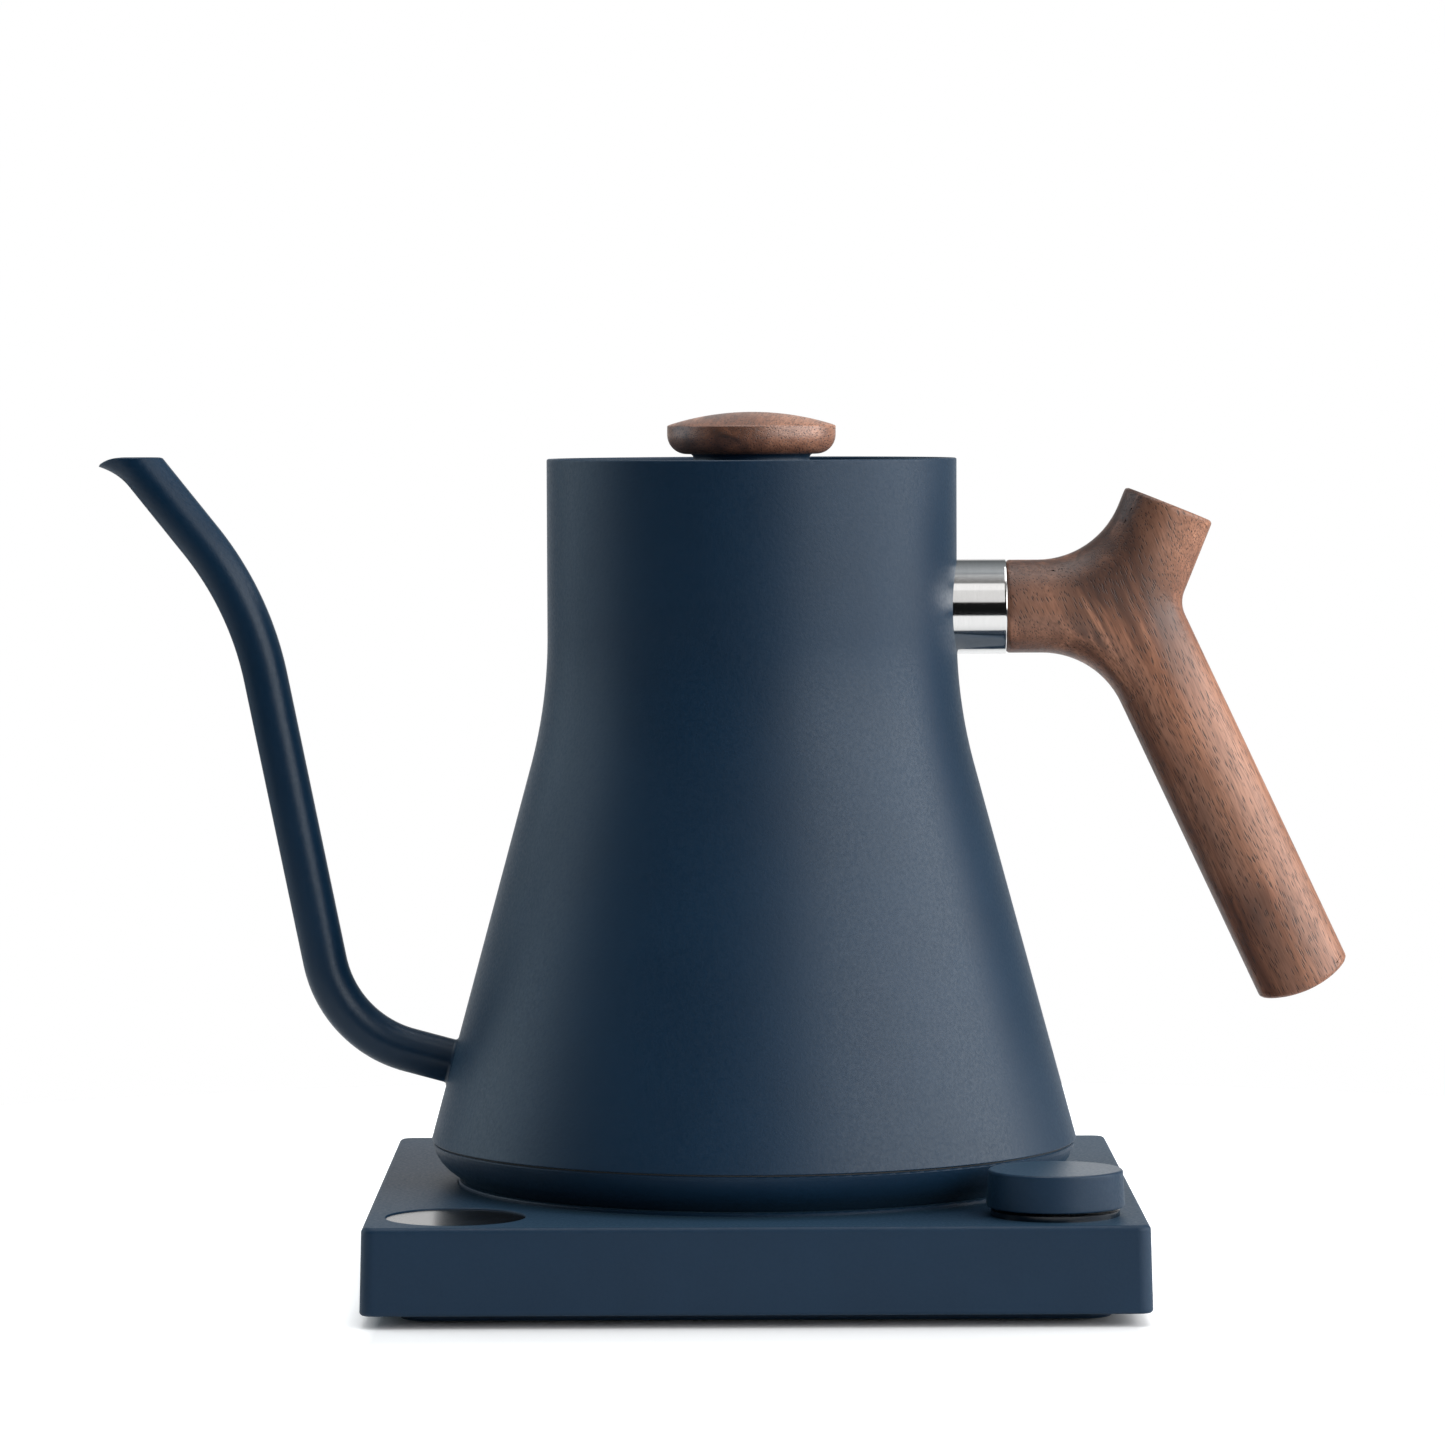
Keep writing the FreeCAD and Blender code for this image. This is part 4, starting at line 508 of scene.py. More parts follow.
def walnut_finish(name, tones, along, shift, gloss, heart_and_shade=(), sap_and_light=()):
    """Oiled walnut: clouds, streaks, fibres and open pores along the grain, with dark and pale marks that are
    partly heart and sapwood and partly painted shade and painted light.
    """
    finish = Finish(name, Specular_IOR_Level=gloss)
    dark, middle, light = tones
    turn = Vector(along).rotation_difference(Vector((0, 0, 1))).to_euler()
    wave = finish.add("TexNoise", {"Vector": finish.place, "Scale": 45.0, "Detail": 1.0}).outputs["Color"]
    wave = finish.vector("SCALE", {0: wave, "Scale": 0.0025})
    place = finish.vector("ADD", {0: finish.place, 1: wave})
    grain = finish.mapped(place, Location=shift, Rotation=turn)

    def drawn(stretch):
        return finish.mapped(grain, Scale=(1.0, 1.0, stretch))

    cloud = finish.noise(42.0, 3.0, drawn(0.45), distortion=0.8)
    streaks = finish.noise(230.0, 5.0, drawn(0.10), distortion=1.0)
    fibres = finish.noise(2600.0, 3.0, drawn(0.07), distortion=0.2)
    pores = finish.add("TexVoronoi", {"Vector": drawn(0.13), "Scale": 2300.0}).outputs["Distance"]
    figure = finish.math("ADD", finish.math("MULTIPLY", cloud, 0.62), finish.math("MULTIPLY", streaks, 0.38))
    tone = finish.ramp(figure, (0.30, *dark), (0.46, *middle), (0.66, *light))
    # Dark marks in the walnut's dark tone are partly painted shade; pale marks in its light tone are partly
    # painted light
    for spot, reach, depth, tint in [(*mark, dark) for mark in heart_and_shade] + [(*mark, light) for mark in sap_and_light]:
        apart = finish.vector("SUBTRACT", {0: finish.place, 1: spot})
        apart = finish.mapped(apart, Rotation=turn, Scale=(1.0, 1.0, 0.6))
        away = finish.add("VectorMath", {0: apart}, operation="LENGTH").outputs["Value"]
        ragged = finish.ranged(streaks, to=(-0.3 * reach, 0.3 * reach), over=(0.3, 0.7))
        mark = finish.ranged(finish.math("ADD", away, ragged), to=(depth, 0.0), over=(0.25 * reach, reach))
        tone = finish.mixed(mark, tone, (*tint, 1.0))
    tone = finish.mixed(finish.ranged(fibres, to=(0.0, 0.70), over=(0.42, 0.70)), tone, shaded(middle, 0.45))
    open_pore = finish.ranged(pores, to=(1.0, 0.0), over=(0.20, 0.36))
    tone = finish.mixed(finish.math("MULTIPLY", open_pore, 0.85), tone, shaded(dark, 0.5))
    relief = finish.math("SUBTRACT", finish.math("MULTIPLY", fibres, 0.4), open_pore)
    return finish.done(tone, finish.ranged(fibres, to=(0.36, 0.50)),
                       finish.bumped(relief, depth=0.00006, strength=0.6))


def steel_finish(name, tone, roughness, lines):
    """Bright metal with faint lines of its working."""
    finish = Finish(name, Metallic=1.0)
    brushed = finish.noise(1.0, 3.0, finish.mapped(finish.place, Scale=lines))
    shade = finish.ramp(brushed, (0.3, *(0.94 * c for c in tone)), (0.7, *tone))
    return finish.done(shade, finish.ranged(brushed, to=(roughness * 0.8, roughness * 1.25)),
                       finish.bumped(brushed, depth=0.000004, strength=0.4))


def moulded_finish(name, dark, light, roughness, grain_depth, gloss=0.5):
    """Moulded plastic, glass or rubber with a fine sparked grain."""
    finish = Finish(name, Specular_IOR_Level=gloss)
    cloud = finish.noise(scale=60.0, detail=3.0)
    grain = finish.noise(scale=2600.0, detail=2.0)
    tone = finish.ramp(cloud, (0.35, *dark), (0.65, *light))
    return finish.done(tone, finish.ranged(grain, to=(roughness - 0.06, roughness + 0.06)),
                       finish.bumped(grain, depth=grain_depth, strength=0.6))


def board_finish(name):
    """Green solder mask with pale copper runs under it."""
    finish = Finish(name)
    bricks = finish.add("TexBrick", {"Vector": finish.place, "Scale": 260.0, "Mortar Size": 0.06})
    runs = bricks.outputs["Fac"]
    cloud = finish.noise(scale=500.0, detail=2.0)
    tone = finish.mixed(runs, (0.008, 0.060, 0.030, 1.0), (0.020, 0.110, 0.055, 1.0))
    return finish.done(tone, finish.ranged(cloud, to=(0.25, 0.4)),
                       finish.bumped(runs, depth=0.00003, strength=0.5))


def make_finishes(settings):
    """One material for each slot of the record, and those of the spout, the dial's face and the lid knob."""
    colours = settings.colours
    lean = settings.handle.grip_lean
    along_grip = (math.sin(lean), 0.0, -math.cos(lean))
    tones = [tuple(tone) for tone in (colours.walnut_dark, colours.walnut_middle, colours.walnut_light)]
    lid_tones = [tuple(LID_SHADE * c for c in tone) for tone in tones]
    return {
        **{name: coat_finish(name, colours, *row) for name, row in COATS.items()},
        **{name: steel_finish(name, *row) for name, row in METALS.items()},
        **{name: moulded_finish(name, *row) for name, row in MOULDINGS.items()},
        "polished_steel": steel_finish("polished_steel", tuple(colours.steel), 0.10, (2000.0, 200.0, 200.0)),
        "walnut": walnut_finish("walnut", tones, along=along_grip, shift=(0.0, 0.0, 0.0), gloss=0.45,
                                heart_and_shade=HEART_AND_SHADE_MARKS, sap_and_light=SAP_AND_LIGHT_MARKS),
        "lid_walnut": walnut_finish("lid_walnut", lid_tones, along=(0.25, 1.0, 0.1), shift=(0.3, 0.1, 0.2),
                                    gloss=0.9),
        "circuit_board": board_finish("circuit_board"),
    }


class KETTLE_OT_finishes(bpy.types.Operator):
    """Make the finishes and give every node its own"""
    bl_idname = "kettle.finishes"
    bl_label = "Finishes"

    def execute(self, context):
        FINISHES.update(make_finishes(context.scene.kettle))
        for subpart in frame["record"]["subparts"]:
            materials = NODES[subpart["node"]].data.materials
            materials.clear()
            materials.append(FINISHES[subpart["material_slot"]])
        return {"FINISHED"}


# Body and spout
def cone_lean(body):
    """How far the wall of the flared foot leans in."""
    shoulder = body.rim_height - body.shoulder_drop
    return math.atan2(body.foot_radius - body.neck_radius, shoulder - body.foot_height)


class SpoutLine:
    """The spout's axis in the upright middle plane, as (x, z), and its skins."""

    def __init__(self, body, spout):
        self.body = body
        self.spout = spout
        self.lean = cone_lean(body)
        reach = body.foot_radius - spout.root_rise * math.tan(self.lean)
        self.root = Vector((-reach, body.foot_height + spout.root_rise))
        self.outward = Vector((-math.cos(self.lean), math.sin(self.lean)))
        self.tip = Vector((-math.sin(spout.tip_lean), math.cos(spout.tip_lean)))
        self.mouth_height = body.rim_height + spout.mouth_rise
        self.lower = self.root + self.outward * spout.run
        riser = self.mouth_height - self.tip.y * spout.tip_run - self.lower.y
        self.upper = self.lower + Vector((-math.tan(spout.riser_lean), 1.0)) * riser
        self.mouth = self.upper + self.tip * spout.tip_run
        self.lip = self.mouth - self.tip * spout.lip_start

    def line(self, start, spacing):
        """Points of the axis from outside the wall to the lip."""
        corners = [self.root + self.outward * start, (*self.lower, self.spout.lower_bend),
                   (*self.upper, self.spout.upper_bend), self.lip]
        return spaced(rounded(corners, steps=36), spacing)

    @staticmethod
    def around(centre, run, radius, turn, flare=0.0):
        """A point of a section square to the run, drawn forward at its front."""
        ahead = radius * math.cos(turn)
        if ahead > 0:
            ahead *= (radius + flare) / radius
        return Vector((centre.x - run.y * ahead, radius * math.sin(turn), centre.y + run.x * ahead))

    def root_point(self, radius, turn, sunk=0.0, search=0.01):
        """Where the skin at that turn meets the body's wall, or lies sunk in it."""
        def outside(along):
            point = self.around(self.root + self.outward * along, self.outward, radius, turn)
            wall = self.body.foot_radius - (point.z - self.body.foot_height) * math.tan(self.lean)
            return math.hypot(point.x, point.y) - wall
        met = solve(outside, -search, search)
        return self.around(self.root + self.outward * (met - sunk), self.outward, radius, turn)

    def lip_point(self, radius, turn, along):
        flare = self.spout.lip_flare * (along / self.spout.lip_length) ** 2
        return self.around(self.lip + self.tip * along, self.tip, radius, turn, flare)

    def lip_end(self, radius, turn):
        """How far up the lip its edge is: level at the back, drooping in front."""
        bend = self.mouth.x - self.spout.droop_start
        droop = self.spout.droop_radius

        def above(along):
            point = self.lip_point(radius, turn, along)
            ahead = min(max(bend - point.x, 0.0), droop)
            return point.z - (self.mouth_height - droop + math.sqrt(droop ** 2 - ahead ** 2))
        return solve(above, 0.0, 2 * self.spout.lip_length)

    def skin(self, radius, turns, rows=10, spacing=0.0018, clear=0.006, sunk=0.0004):
        """Rings from the wall to the mouth's edge."""
        points = self.line(clear, spacing)
        rings = [[self.root_point(radius, t, sunk) for t in turns]]
        for i, point in enumerate(points[:-1]):
            run = (points[i + 1] - points[max(i - 1, 0)]).normalized()
            rings.append([self.around(point, run, radius, t) for t in turns])
        ends = [self.lip_end(radius, t) for t in turns]
        for row in range(rows + 1):
            rings.append([self.lip_point(radius, t, end * row / rows) for t, end in zip(turns, ends)])
        return rings


class KETTLE_OT_body(bpy.types.Operator):
    """Spin the drawn body with its rolled rim and open it into the spout"""
    bl_idname = "kettle.body"
    bl_label = "Coated body"

    def execute(self, context):
        body = context.scene.kettle.body
        lean = cone_lean(body)
        shoulder = body.rim_height - body.shoulder_drop
        bore = body.neck_radius - body.wall
        inner_shoulder = shoulder - body.wall * math.tan(lean / 2)
        profile = rounded([
            (body.foot_radius, body.foot_height, body.edge_round / 2),
            (body.neck_radius, shoulder, body.shoulder_radius),
            (body.neck_radius, body.rim_height, body.edge_round),
            (bore, body.rim_height, body.edge_round),
            (bore, inner_shoulder, body.shoulder_radius + body.wall),
            (body.foot_radius - body.wall / math.cos(lean), body.foot_height, body.edge_round / 2),
        ], steps=24, closed=True)
        profile = spaced(held(profile + profile[:1]), spacing=0.006)[:-1]
        piece = add_piece("coated_body", lathe(profile, closed=True), "kettle", "navy_coat", "kettle_body")
        self.port(piece, SpoutLine(body, context.scene.kettle.spout))
        return {"FINISHED"}

    def port(self, piece, line, reach=0.004):
        """Opens the wall into the spout's bore with a drill."""
        bore = line.spout.diameter / 2 - line.spout.wall
        turns = turns_round(PORT_SPANS)
        middles = [line.root + line.outward * along for along in (-reach, reach)]
        shape = loft([[line.around(middle, line.outward, bore, t) for t in turns] for middle in middles])
        bmesh.ops.holes_fill(shape, edges=shape.edges)
        drill = link("port_drill", mesh_of("port_drill", shape))
        cut = piece.modifiers.new("Port", "BOOLEAN")
        cut.operation = "DIFFERENCE"
        cut.object = drill
        cut.solver = "EXACT"
        drilled = worked(piece)
        if len(drilled.vertices) <= len(piece.data.vertices):
            raise RuntimeError("the spout's port was not cut")
        piece.modifiers.clear()
        piece.data = drilled
        discard(drill)


class KETTLE_OT_spout(bpy.types.Operator):
    """Sweep the gooseneck spout, draw its lip and braze it to the body"""
    bl_idname = "kettle.spout"
    bl_label = "Gooseneck spout"

    def execute(self, context):
        spout = context.scene.kettle.spout
        line = SpoutLine(context.scene.kettle.body, spout)
        turns = turns_round(SPOUT_SPANS)
        outer = line.skin(spout.diameter / 2, turns)
        inner = line.skin(spout.diameter / 2 - spout.wall, turns)
        lip = self.crown(outer[-1], inner[-1], Vector((line.tip.x, 0, line.tip.y)) * spout.wall)
        add_piece("spout_tube", loft(outer + lip + inner[::-1], closed=True), "kettle", "navy_coat", "spout",
                  finish="spout_coat")
        add_piece("spout_braze", self.braze(line, turns), "kettle", "navy_coat")
        return {"FINISHED"}

    def crown(self, outer, inner, wall, height=0.32, places=(0.2, 0.5, 0.8)):
        """Rings over the lip's edge, which rises by a share of the wall."""
        rings = []
        for place in places:
            rise = wall * height * math.sin(math.pi * place)
            rings.append([a.lerp(b, place) + rise for a, b in zip(outer, inner)])
        return rings

    def braze(self, line, turns):
        """A small hollow fillet round the root."""
        radius = line.spout.diameter / 2
        bead = line.spout.bead
        rings = []
        for swing in quarter_turn(BEAD_STEPS):
            swell = radius + bead * (1 - math.sin(swing))
            rise = bead * (1 - math.cos(swing))
            rings.append([line.root_point(swell, t, -rise) for t in turns])
        rings.append([line.root_point(radius - bead / 2, t, -bead / 2) for t in turns])
        return loft(rings, closed=True)


# Handle
class HandleForm:
    """The forked handle as a field: below zero inside the wood, with slopes for stepping onto its skin."""

    def __init__(self, handle):
        self.handle = handle
        self.half = handle.depth / 2
        self.fork = np.array([handle.stem_start + handle.stem, handle.stem_height])
        self.grip = np.array([math.sin(handle.grip_lean), -math.cos(handle.grip_lean)])
        self.stub = np.array([math.sin(handle.stub_lean), math.cos(handle.stub_lean)])
        self.outline = np.array([tuple(p) for p in self.sketch(handle.depth)])
        self.blank = self.sketch(4 * CARVE_GRID)

    @staticmethod
    def meet(start, run, other, other_run):
        """Where two lines cross."""
        cross = run[0] * other_run[1] - run[1] * other_run[0]
        gap = other - start
        return start + run * ((gap[0] * other_run[1] - gap[1] * other_run[0]) / cross)

    def sketch(self, past):
        """The outline in the upright middle plane, run past its three cut ends."""
        handle = self.handle
        stem = np.array([1.0, 0.0])
        level = np.array([0.0, self.half])
        stub_side = np.array([-self.stub[1], self.stub[0]]) * handle.stub_width / 2
        grip_side = np.array([self.grip[1], -self.grip[0]]) * handle.grip_width / 2
        stub_end = self.stub * (handle.stub + past)
        grip_end = self.grip * (handle.grip + past)
        stem_end = -stem * (handle.stem + past)
        top = self.meet(self.fork + level, stem, self.fork + stub_side, self.stub)
        notch = self.meet(self.fork - stub_side, self.stub, self.fork - grip_side, self.grip)
        under = self.meet(self.fork - level, stem, self.fork + grip_side, self.grip)
        corners = [
            self.fork + stem_end - level,
            self.fork + stem_end + level,
            (*top, handle.arm_fillet),
            self.fork + stub_end + stub_side,
            self.fork + stub_end - stub_side,
            (*notch, handle.notch_fillet),
            self.fork + grip_end - grip_side,
            self.fork + grip_end + grip_side,
            (*under, handle.arm_fillet),
        ]
        return rounded([tuple(c) for c in corners], steps=14, closed=True)

    def to_outline(self, flat):
        """Distance from the outline, below zero inside, and its slope."""
        start = self.outline
        end = np.roll(start, -1, axis=0)
        best = np.full(len(flat), np.inf)
        nearest = np.zeros_like(flat)
        inside = np.zeros(len(flat), bool)
        for a, b, edge in zip(start, end, end - start):
            along = np.clip((flat - a) @ edge / (edge @ edge), 0, 1)
            foot = a + along[:, None] * edge
            distance = np.linalg.norm(flat - foot, axis=1)
            closer = distance < best
            best[closer] = distance[closer]
            nearest[closer] = foot[closer]
            if a[1] != b[1]:
                crossing = (a[1] > flat[:, 1]) != (b[1] > flat[:, 1])
                inside ^= crossing & (flat[:, 0] < edge[0] * (flat[:, 1] - a[1]) / edge[1] + a[0])
        sign = np.where(inside, -1.0, 1.0)
        slope = sign[:, None] * (flat - nearest) / np.maximum(best, TOUCH)[:, None]
        return sign * best, slope

    def field(self, points):
        """How far points lie outside the wood, and the slope of that."""
        flat = points[:, [0, 2]]
        distance, slope = self.to_outline(flat)
        inset = distance + self.half
        soft = np.sqrt(inset ** 2 + self.handle.softening ** 2)
        spread = (inset + soft) / 2
        reach = np.sqrt(spread ** 2 + points[:, 1] ** 2)
        size = np.maximum(reach, TOUCH)
        steep = spread * (1 + inset / soft) / 2 / size
        value = reach - self.half
        gradient = np.stack([steep * slope[:, 0], points[:, 1] / size, steep * slope[:, 1]], 1)
        for end_value, end_run in self.ends(flat - self.fork):
            value, gradient = self.cut(value, gradient, end_value, end_run)
        return value, gradient

    def ends(self, flat):
        """How far points lie past each end, and which way that end faces."""
        handle = self.handle
        aside = flat @ np.array([self.grip[1], -self.grip[0]])
        crown = handle.grip_crown * np.maximum(1 - (2 * aside / handle.grip_width) ** 2, 0)
        return (
            (flat @ self.stub - handle.stub, (self.stub[0], 0.0, self.stub[1])),
            (flat @ self.grip - handle.grip - crown, (self.grip[0], 0.0, self.grip[1])),
            (-flat[:, 0] - handle.stem, (-1.0, 0.0, 0.0)),
        )

    def cut(self, value, gradient, end_value, end_run):
        """The field cut off at an end, with a rounded edge."""
        edge = self.handle.end_round
        a = np.maximum(value + edge, 0)
        b = np.maximum(end_value + edge, 0)
        corner = (a > 0) & (b > 0)
        size = np.maximum(np.hypot(a, b), TOUCH)
        blended = (a[:, None] * gradient + b[:, None] * np.array(end_run)) / size[:, None]
        plain = np.where((end_value > value)[:, None], np.array(end_run), gradient)
        return (np.where(corner, size - edge, np.maximum(value, end_value)),
                np.where(corner[:, None], blended, plain))


class KETTLE_OT_handle(bpy.types.Operator):
    """Carve the forked walnut handle and sleeve it with its ferrule"""
    bl_idname = "kettle.handle"
    bl_label = "Walnut handle"

    def execute(self, context):
        handle = context.scene.kettle.handle
        sleeve = self.sleeve(handle, context.scene.kettle.body)
        add_piece("walnut_handle", self.carve(HandleForm(handle)), "kettle", "walnut", "handle")
        add_piece("ferrule_sleeve", sleeve, "kettle", "polished_steel", "handle_ferrule")
        return {"FINISHED"}

    def carve(self, form):
        """A sawn blank on an even grid, whose points are stepped onto the form's skin."""
        blank = bmesh.new()
        rings = [[blank.verts.new((x, y, z)) for x, z in form.blank] for y in (-form.half, form.half)]
        bridge(blank, *rings)
        for ring in rings:
            blank.faces.new(ring)
        rough = link("walnut_blank", mesh_of("walnut_blank", blank))
        remesh = rough.modifiers.new("Voxels", "REMESH")
        remesh.mode = "VOXEL"
        remesh.voxel_size = CARVE_GRID
        wood = worked(rough)
        discard(rough)
        points = np.zeros(len(wood.vertices) * 3)
        wood.vertices.foreach_get("co", points)
        points = points.reshape(-1, 3)
        for _ in range(CARVE_PASSES):
            value, gradient = form.field(points)
            slope = np.maximum((gradient ** 2).sum(1), CARVE_LEAST_SLOPE)
            points -= CARVE_PACE * (value / slope)[:, None] * gradient
        wood.vertices.foreach_set("co", points.astype(np.float32).ravel())
        wood.update()
        wood.name = "walnut_handle"
        return wood

    def sleeve(self, handle, body, edge=0.00025, thickness=0.002):
        """A turned sleeve from the neck's wall to the wood."""
        radius = handle.depth / 2
        end = handle.stem_start

        def ring(size, x=None):
            found = []
            for turn in turns_round(SLEEVE_SPANS):
                y = size * math.cos(turn)
                start = math.sqrt(body.neck_radius ** 2 - y ** 2) - body.wall / 2
                found.append((start if x is None else x, y, handle.stem_height + size * math.sin(turn)))
            return found
        rings = [ring(radius - thickness), ring(radius), ring(radius, end - 3 * edge)]
        for swing in quarter_turn(BEAD_STEPS):
            rings.append(ring(radius - edge * (1 - math.cos(swing)), end - edge + edge * math.sin(swing)))
        rings.append(ring(radius - thickness, end))
        return loft(rings, closed=True)


# Lid
class KETTLE_OT_lid_knob(bpy.types.Operator):
    """Turn the walnut lid knob"""
    bl_idname = "kettle.lid_knob"
    bl_label = "Walnut lid knob"

    def execute(self, context):
        lid = context.scene.kettle.lid
        radius = LID_KNOB_HIGH.x
        low, high = LID_KNOB_LOW.z, LID_KNOB_HIGH.z
        rim = low + lid.rim_height
        crown = high - rim
        sphere = (radius ** 2 + crown ** 2) / (2 * crown)
        side = rounded([(0.0, low), (radius, low, lid.under_round), (radius, rim, lid.top_round),
                        (0.0, high)], steps=12)
        dome = []
        for k in range(DOME_STEPS + 1):
            out = (radius - 2 * lid.top_round) * (1 - k / DOME_STEPS)
            dome.append(Vector((out, high - sphere + math.sqrt(sphere ** 2 - out ** 2))))
        add_piece("walnut_lid_knob", lathe(side[:-1] + dome), "lid", "walnut", "lid_knob",
                  finish="lid_walnut")
        return {"FINISHED"}


# Control dial
class KETTLE_OT_dial(bpy.types.Operator):
    """Turn the control dial with its satin face"""
    bl_idname = "kettle.dial"
    bl_label = "Control dial"

    def execute(self, context):
        dial = context.scene.kettle.dial
        low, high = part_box("control_knob")
        centre = ((low.x + high.x) / 2, (low.y + high.y) / 2)
        foot = high.x - centre[0]
        top = foot - dial.draft
        skirt = foot - dial.wall
        under = high.z - dial.face
        inner_round = 0.0005
        profile = rounded([(0.0, under), (skirt, under, inner_round), (skirt, low.z, dial.edge / 2),
                           (foot, low.z, dial.edge), (top, high.z, dial.round), (0.0, high.z)], steps=8)
        shape = lathe(spaced(held(profile), spacing=0.004), centre)
        piece = add_piece("turned_dial", shape, "knob", "navy_plastic", "control_knob")
        self.face(piece.data, high.z - dial.round)
        return {"FINISHED"}

    def face(self, mesh, height, least_upward=0.7):
        """Gives the dial's face, above a height and looking up, its own finish."""
        mesh.materials.append(FINISHES["dial_face"])
        for polygon in mesh.polygons:
            if polygon.center.z > height and polygon.normal.z > least_upward:
                polygon.material_index = 1


# Stage
WHITE = (1.0, 1.0, 1.0)

# Lamps: power setting, degrees round from the front, degrees up from the table, width, height and tint
LAMPS = {
    "key_lamp": ("key_power", 67, 18, 2.4, 0.9, WHITE),
    "fill_lamp": ("fill_power", -108, 18, 1.0, 0.9, (0.74, 0.90, 1.0)),
    "high_lamp": ("high_power", 8, 64, 2.2, 1.0, WHITE),
    "top_left_lamp": ("top_power", -90, 78, 1.1, 0.55, WHITE),
    "top_right_lamp": ("top_power", 90, 70, 1.1, 0.5, WHITE),
    "strip_lamp": ("strip_power", 6, 37, 0.16, 1.1, WHITE),
}
LAMP_DISTANCE = 1.3
LAMP_AIM = Vector((0.0, 0.0, 0.09))

# Where the floor's painted glow starts and where it is full, beside the base and ahead of it; short of these
# a painted shade band stays round the base
PAINTED_SHADE_BESIDE = (0.083, 0.091)
PAINTED_SHADE_AHEAD = (0.104, 0.165)
FLOOR_INNER_RADIUS = 0.25
PAINTED_GLOW_MIRRORED = 0.25   # share of the lift that reflections show

# The room from front to back, by the Y of a direction: where reflections turn to the white wall, where the
# dark front ends, and the levels of front, middle and far wall
WALL_FROM = (0.84, 0.98)
FRONT_UNTIL = (-0.4, 0.1)
ROOM_FRONT, ROOM_MIDDLE, ROOM_FAR = 0.01, 0.66, 0.1
ROOM_LEFT, ROOM_RIGHT = 0.6, 1.05   # shares of those levels at the two sides
ROOM_TINT = (0.88, 0.95, 1.0)

SENSOR_WIDTH = 36.0
CAMERA_RANGE = 50.0


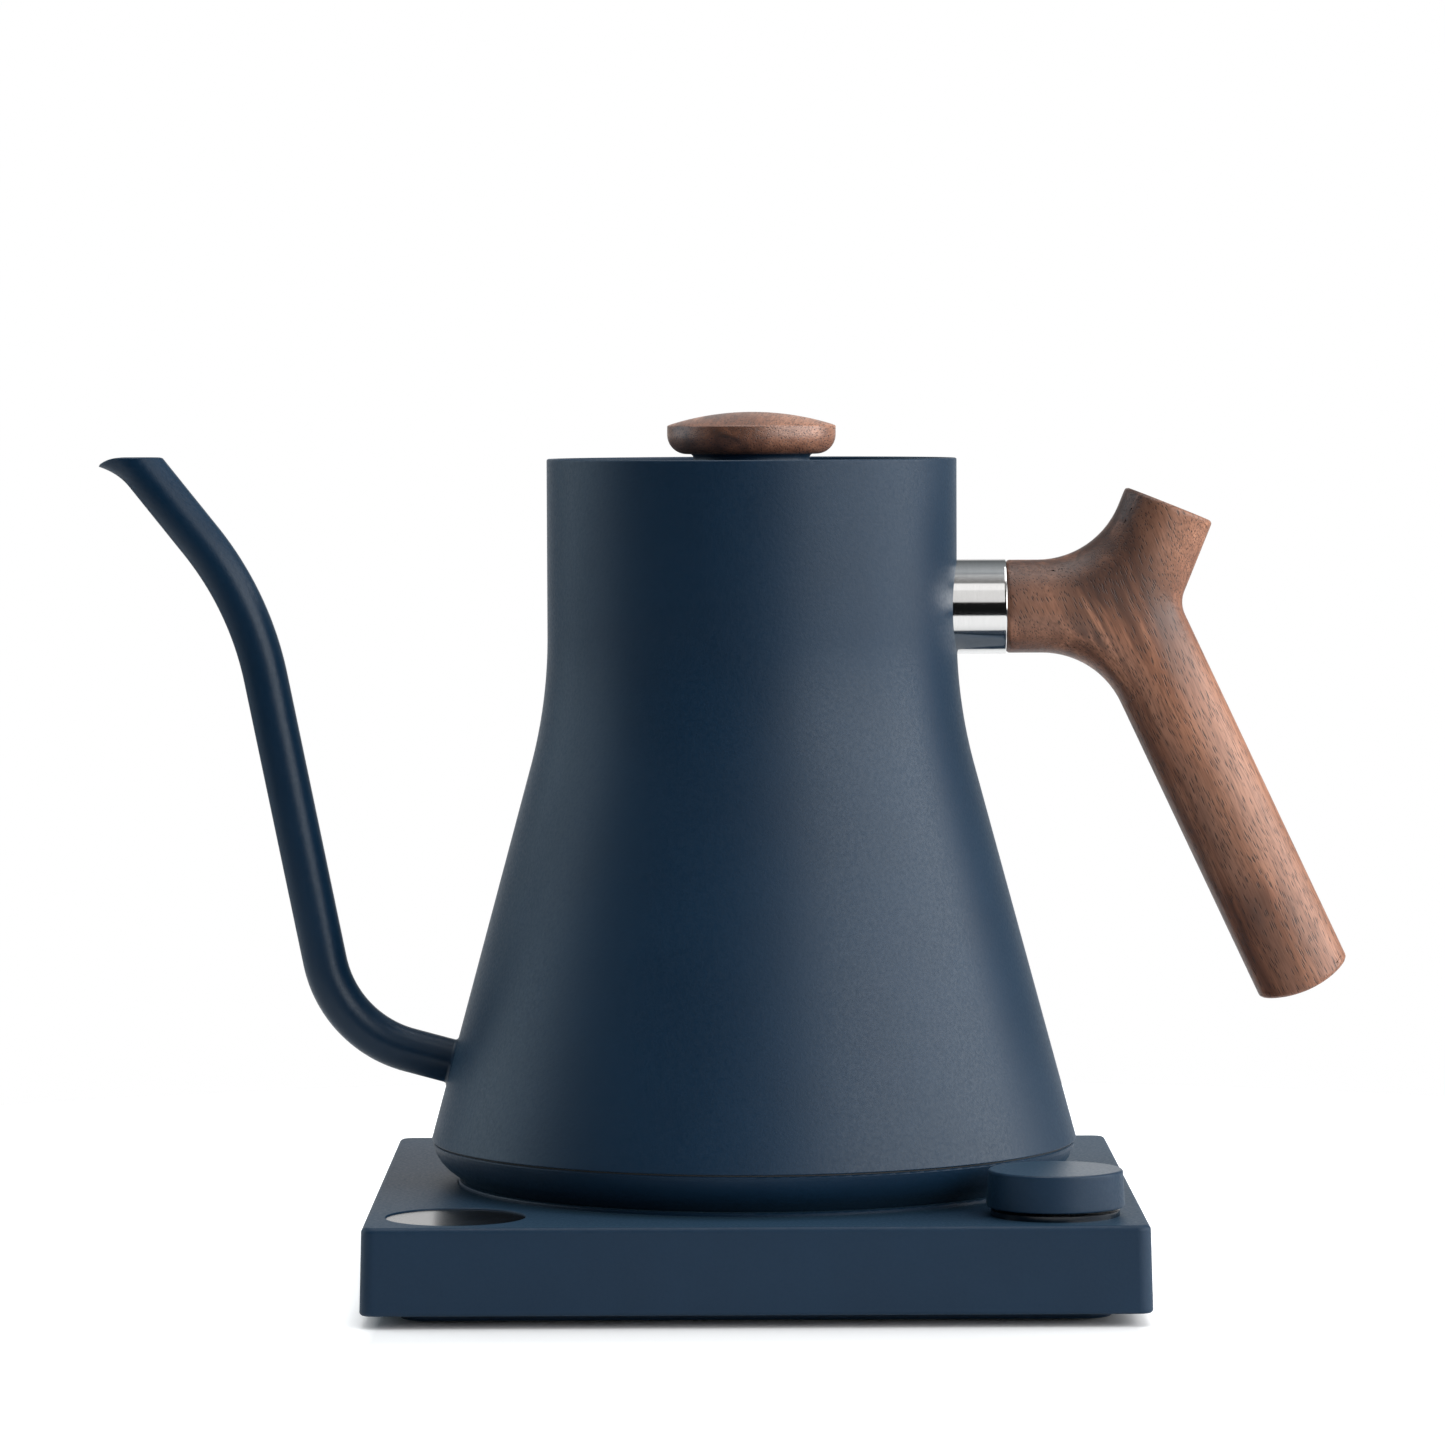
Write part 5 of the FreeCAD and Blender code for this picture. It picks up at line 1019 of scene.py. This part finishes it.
class KETTLE_OT_stage(bpy.types.Operator):
    """Set the floor, the soft lamps and the camera"""
    bl_idname = "kettle.stage"
    bl_label = "Stage"

    def execute(self, context):
        stage = context.scene.kettle.stage
        context.scene.view_settings.view_transform = "Standard"
        self.floor(stage)
        self.world(context.scene)
        for name, (setting, *placing) in LAMPS.items():
            self.lamp(name, getattr(stage, setting), *placing)
        self.camera(context.scene, stage)
        return {"FINISHED"}

    def floor(self, stage):
        """A white disc that keeps the object's shadow, with a painted glow that whitens it away from the base
        and leaves a painted shade band beside the base, and fades into the white backdrop.
        """
        radii = (0.0, FLOOR_INNER_RADIUS, stage.floor_radius)
        mesh = mesh_of("floor", loft([circle(radius, 0.0) for radius in radii]))
        floor = link("floor", mesh)
        finish = Finish("floor", Roughness=0.9, Specular_IOR_Level=0.0,
                        Base_Color=(*stage.floor_colour, 1.0), Emission_Color=(*WHITE, 1.0))
        path = finish.add("LightPath").outputs
        shown = finish.math("MAXIMUM", path["Is Glossy Ray"], path["Is Transmission Ray"])
        shown = finish.math("MULTIPLY", shown, PAINTED_GLOW_MIRRORED)
        seen = finish.math("MAXIMUM", path["Is Camera Ray"], shown)
        away = finish.add("SeparateXYZ", {0: finish.vector("ABSOLUTE", {0: finish.place})}).outputs
        # Painted glow rising away from the base, leaving a band of painted shade beside and ahead of it
        beside = finish.ranged(away["X"], to=(0.0, stage.painted_floor_glow), over=PAINTED_SHADE_BESIDE)
        ahead = finish.ranged(away["Y"], to=(0.0, stage.painted_floor_glow), over=PAINTED_SHADE_AHEAD)
        painted_glow = finish.math("MULTIPLY", seen, finish.math("MAXIMUM", beside, ahead))
        finish.feed(finish.surface, {"Emission Strength": painted_glow})
        mesh.materials.append(finish.material)

    def world(self, scene):
        """White to the camera and, at the far wall, to reflections; to other rays a room, dark in front."""
        world = bpy.data.worlds.new("studio")
        world.use_nodes = True
        scene.world = world
        nodes = Wiring(world.node_tree)
        path = nodes.add("LightPath").outputs
        facing = nodes.add("SeparateXYZ", {0: nodes.add("TexCoord").outputs["Generated"]}).outputs
        wall = nodes.ranged(facing["Y"], to=(0.0, 1.0), over=WALL_FROM, interpolation_type="SMOOTHSTEP")
        shown = nodes.math("MAXIMUM", path["Is Glossy Ray"], path["Is Transmission Ray"])
        shown = nodes.math("MULTIPLY", shown, wall)
        shown = nodes.math("MAXIMUM", shown, path["Is Camera Ray"])
        around = nodes.ranged(facing["Y"], to=(ROOM_FRONT, ROOM_MIDDLE), over=FRONT_UNTIL)
        behind = nodes.ranged(facing["Y"], to=(ROOM_MIDDLE, ROOM_FAR), over=(FRONT_UNTIL[1], 1.0))
        aside = nodes.ranged(facing["X"], to=(ROOM_LEFT, ROOM_RIGHT), over=(-1.0, 1.0))
        level = nodes.math("MULTIPLY", nodes.math("MINIMUM", around, behind), aside)
        room = nodes.add("Background", {"Color": (*ROOM_TINT, 1.0), "Strength": level}).outputs[0]
        white = nodes.add("Background", {"Color": (*WHITE, 1.0), "Strength": 1.0}).outputs[0]
        mix = nodes.add("MixShader", {0: shown, 1: room, 2: white}).outputs[0]
        nodes.feed(nodes.tree.nodes["World Output"], {"Surface": mix})

    def lamp(self, name, watts, azimuth, elevation, width, height, tint):
        """A soft box that faces the kettle."""
        turn, rise = math.radians(azimuth), math.radians(elevation)
        out = Vector((math.sin(turn) * math.cos(rise), -math.cos(turn) * math.cos(rise), math.sin(rise)))
        data = bpy.data.lights.new(name, "AREA")
        data.shape = "RECTANGLE"
        data.size = width
        data.size_y = height
        data.energy = watts
        data.color = tint
        lamp = link(name, data)
        lamp.location = LAMP_AIM + out * LAMP_DISTANCE
        lamp.rotation_euler = (-out).to_track_quat("-Z", "Y").to_euler()
        lamp.visible_camera = False

    def camera(self, scene, stage):
        data = bpy.data.cameras.new("camera")
        data.lens = stage.lens
        data.sensor_width = SENSOR_WIDTH
        data.clip_end = CAMERA_RANGE
        camera = link("camera", data)
        camera.location = stage.camera_place
        camera.rotation_euler = (math.pi / 2 - stage.camera_pitch, stage.camera_roll, 0.0)
        scene.camera = camera


class KETTLE_PT_panel(bpy.types.Panel):
    """Pieces and stage of the kettle"""
    bl_label = "Pouring kettle"
    bl_idname = "KETTLE_PT_panel"
    bl_space_type = "VIEW_3D"
    bl_region_type = "UI"
    bl_category = "Kettle"

    def draw(self, context):
        for operator in OPERATORS:
            self.layout.operator(operator.bl_idname)


SETTINGS = (BodySizes, SpoutSizes, HandleSizes, LidSizes, DialSizes, Colours, StageSettings, KettleSettings)
OPERATORS = (KETTLE_OT_finishes, KETTLE_OT_body, KETTLE_OT_spout, KETTLE_OT_handle, KETTLE_OT_lid_knob,
             KETTLE_OT_dial, KETTLE_OT_stage)
CLASSES = (*SETTINGS, *OPERATORS, KETTLE_PT_panel)


def register():
    for cls in CLASSES:
        bpy.utils.register_class(cls)
    bpy.types.Scene.kettle = PointerProperty(type=KettleSettings)


def unregister():
    del bpy.types.Scene.kettle
    for cls in reversed(CLASSES):
        bpy.utils.unregister_class(cls)


def main():
    register()
    for operator in OPERATORS:
        family, name = operator.bl_idname.split(".")
        getattr(getattr(bpy.ops, family), name)()


if __name__ == "__main__":
    main()
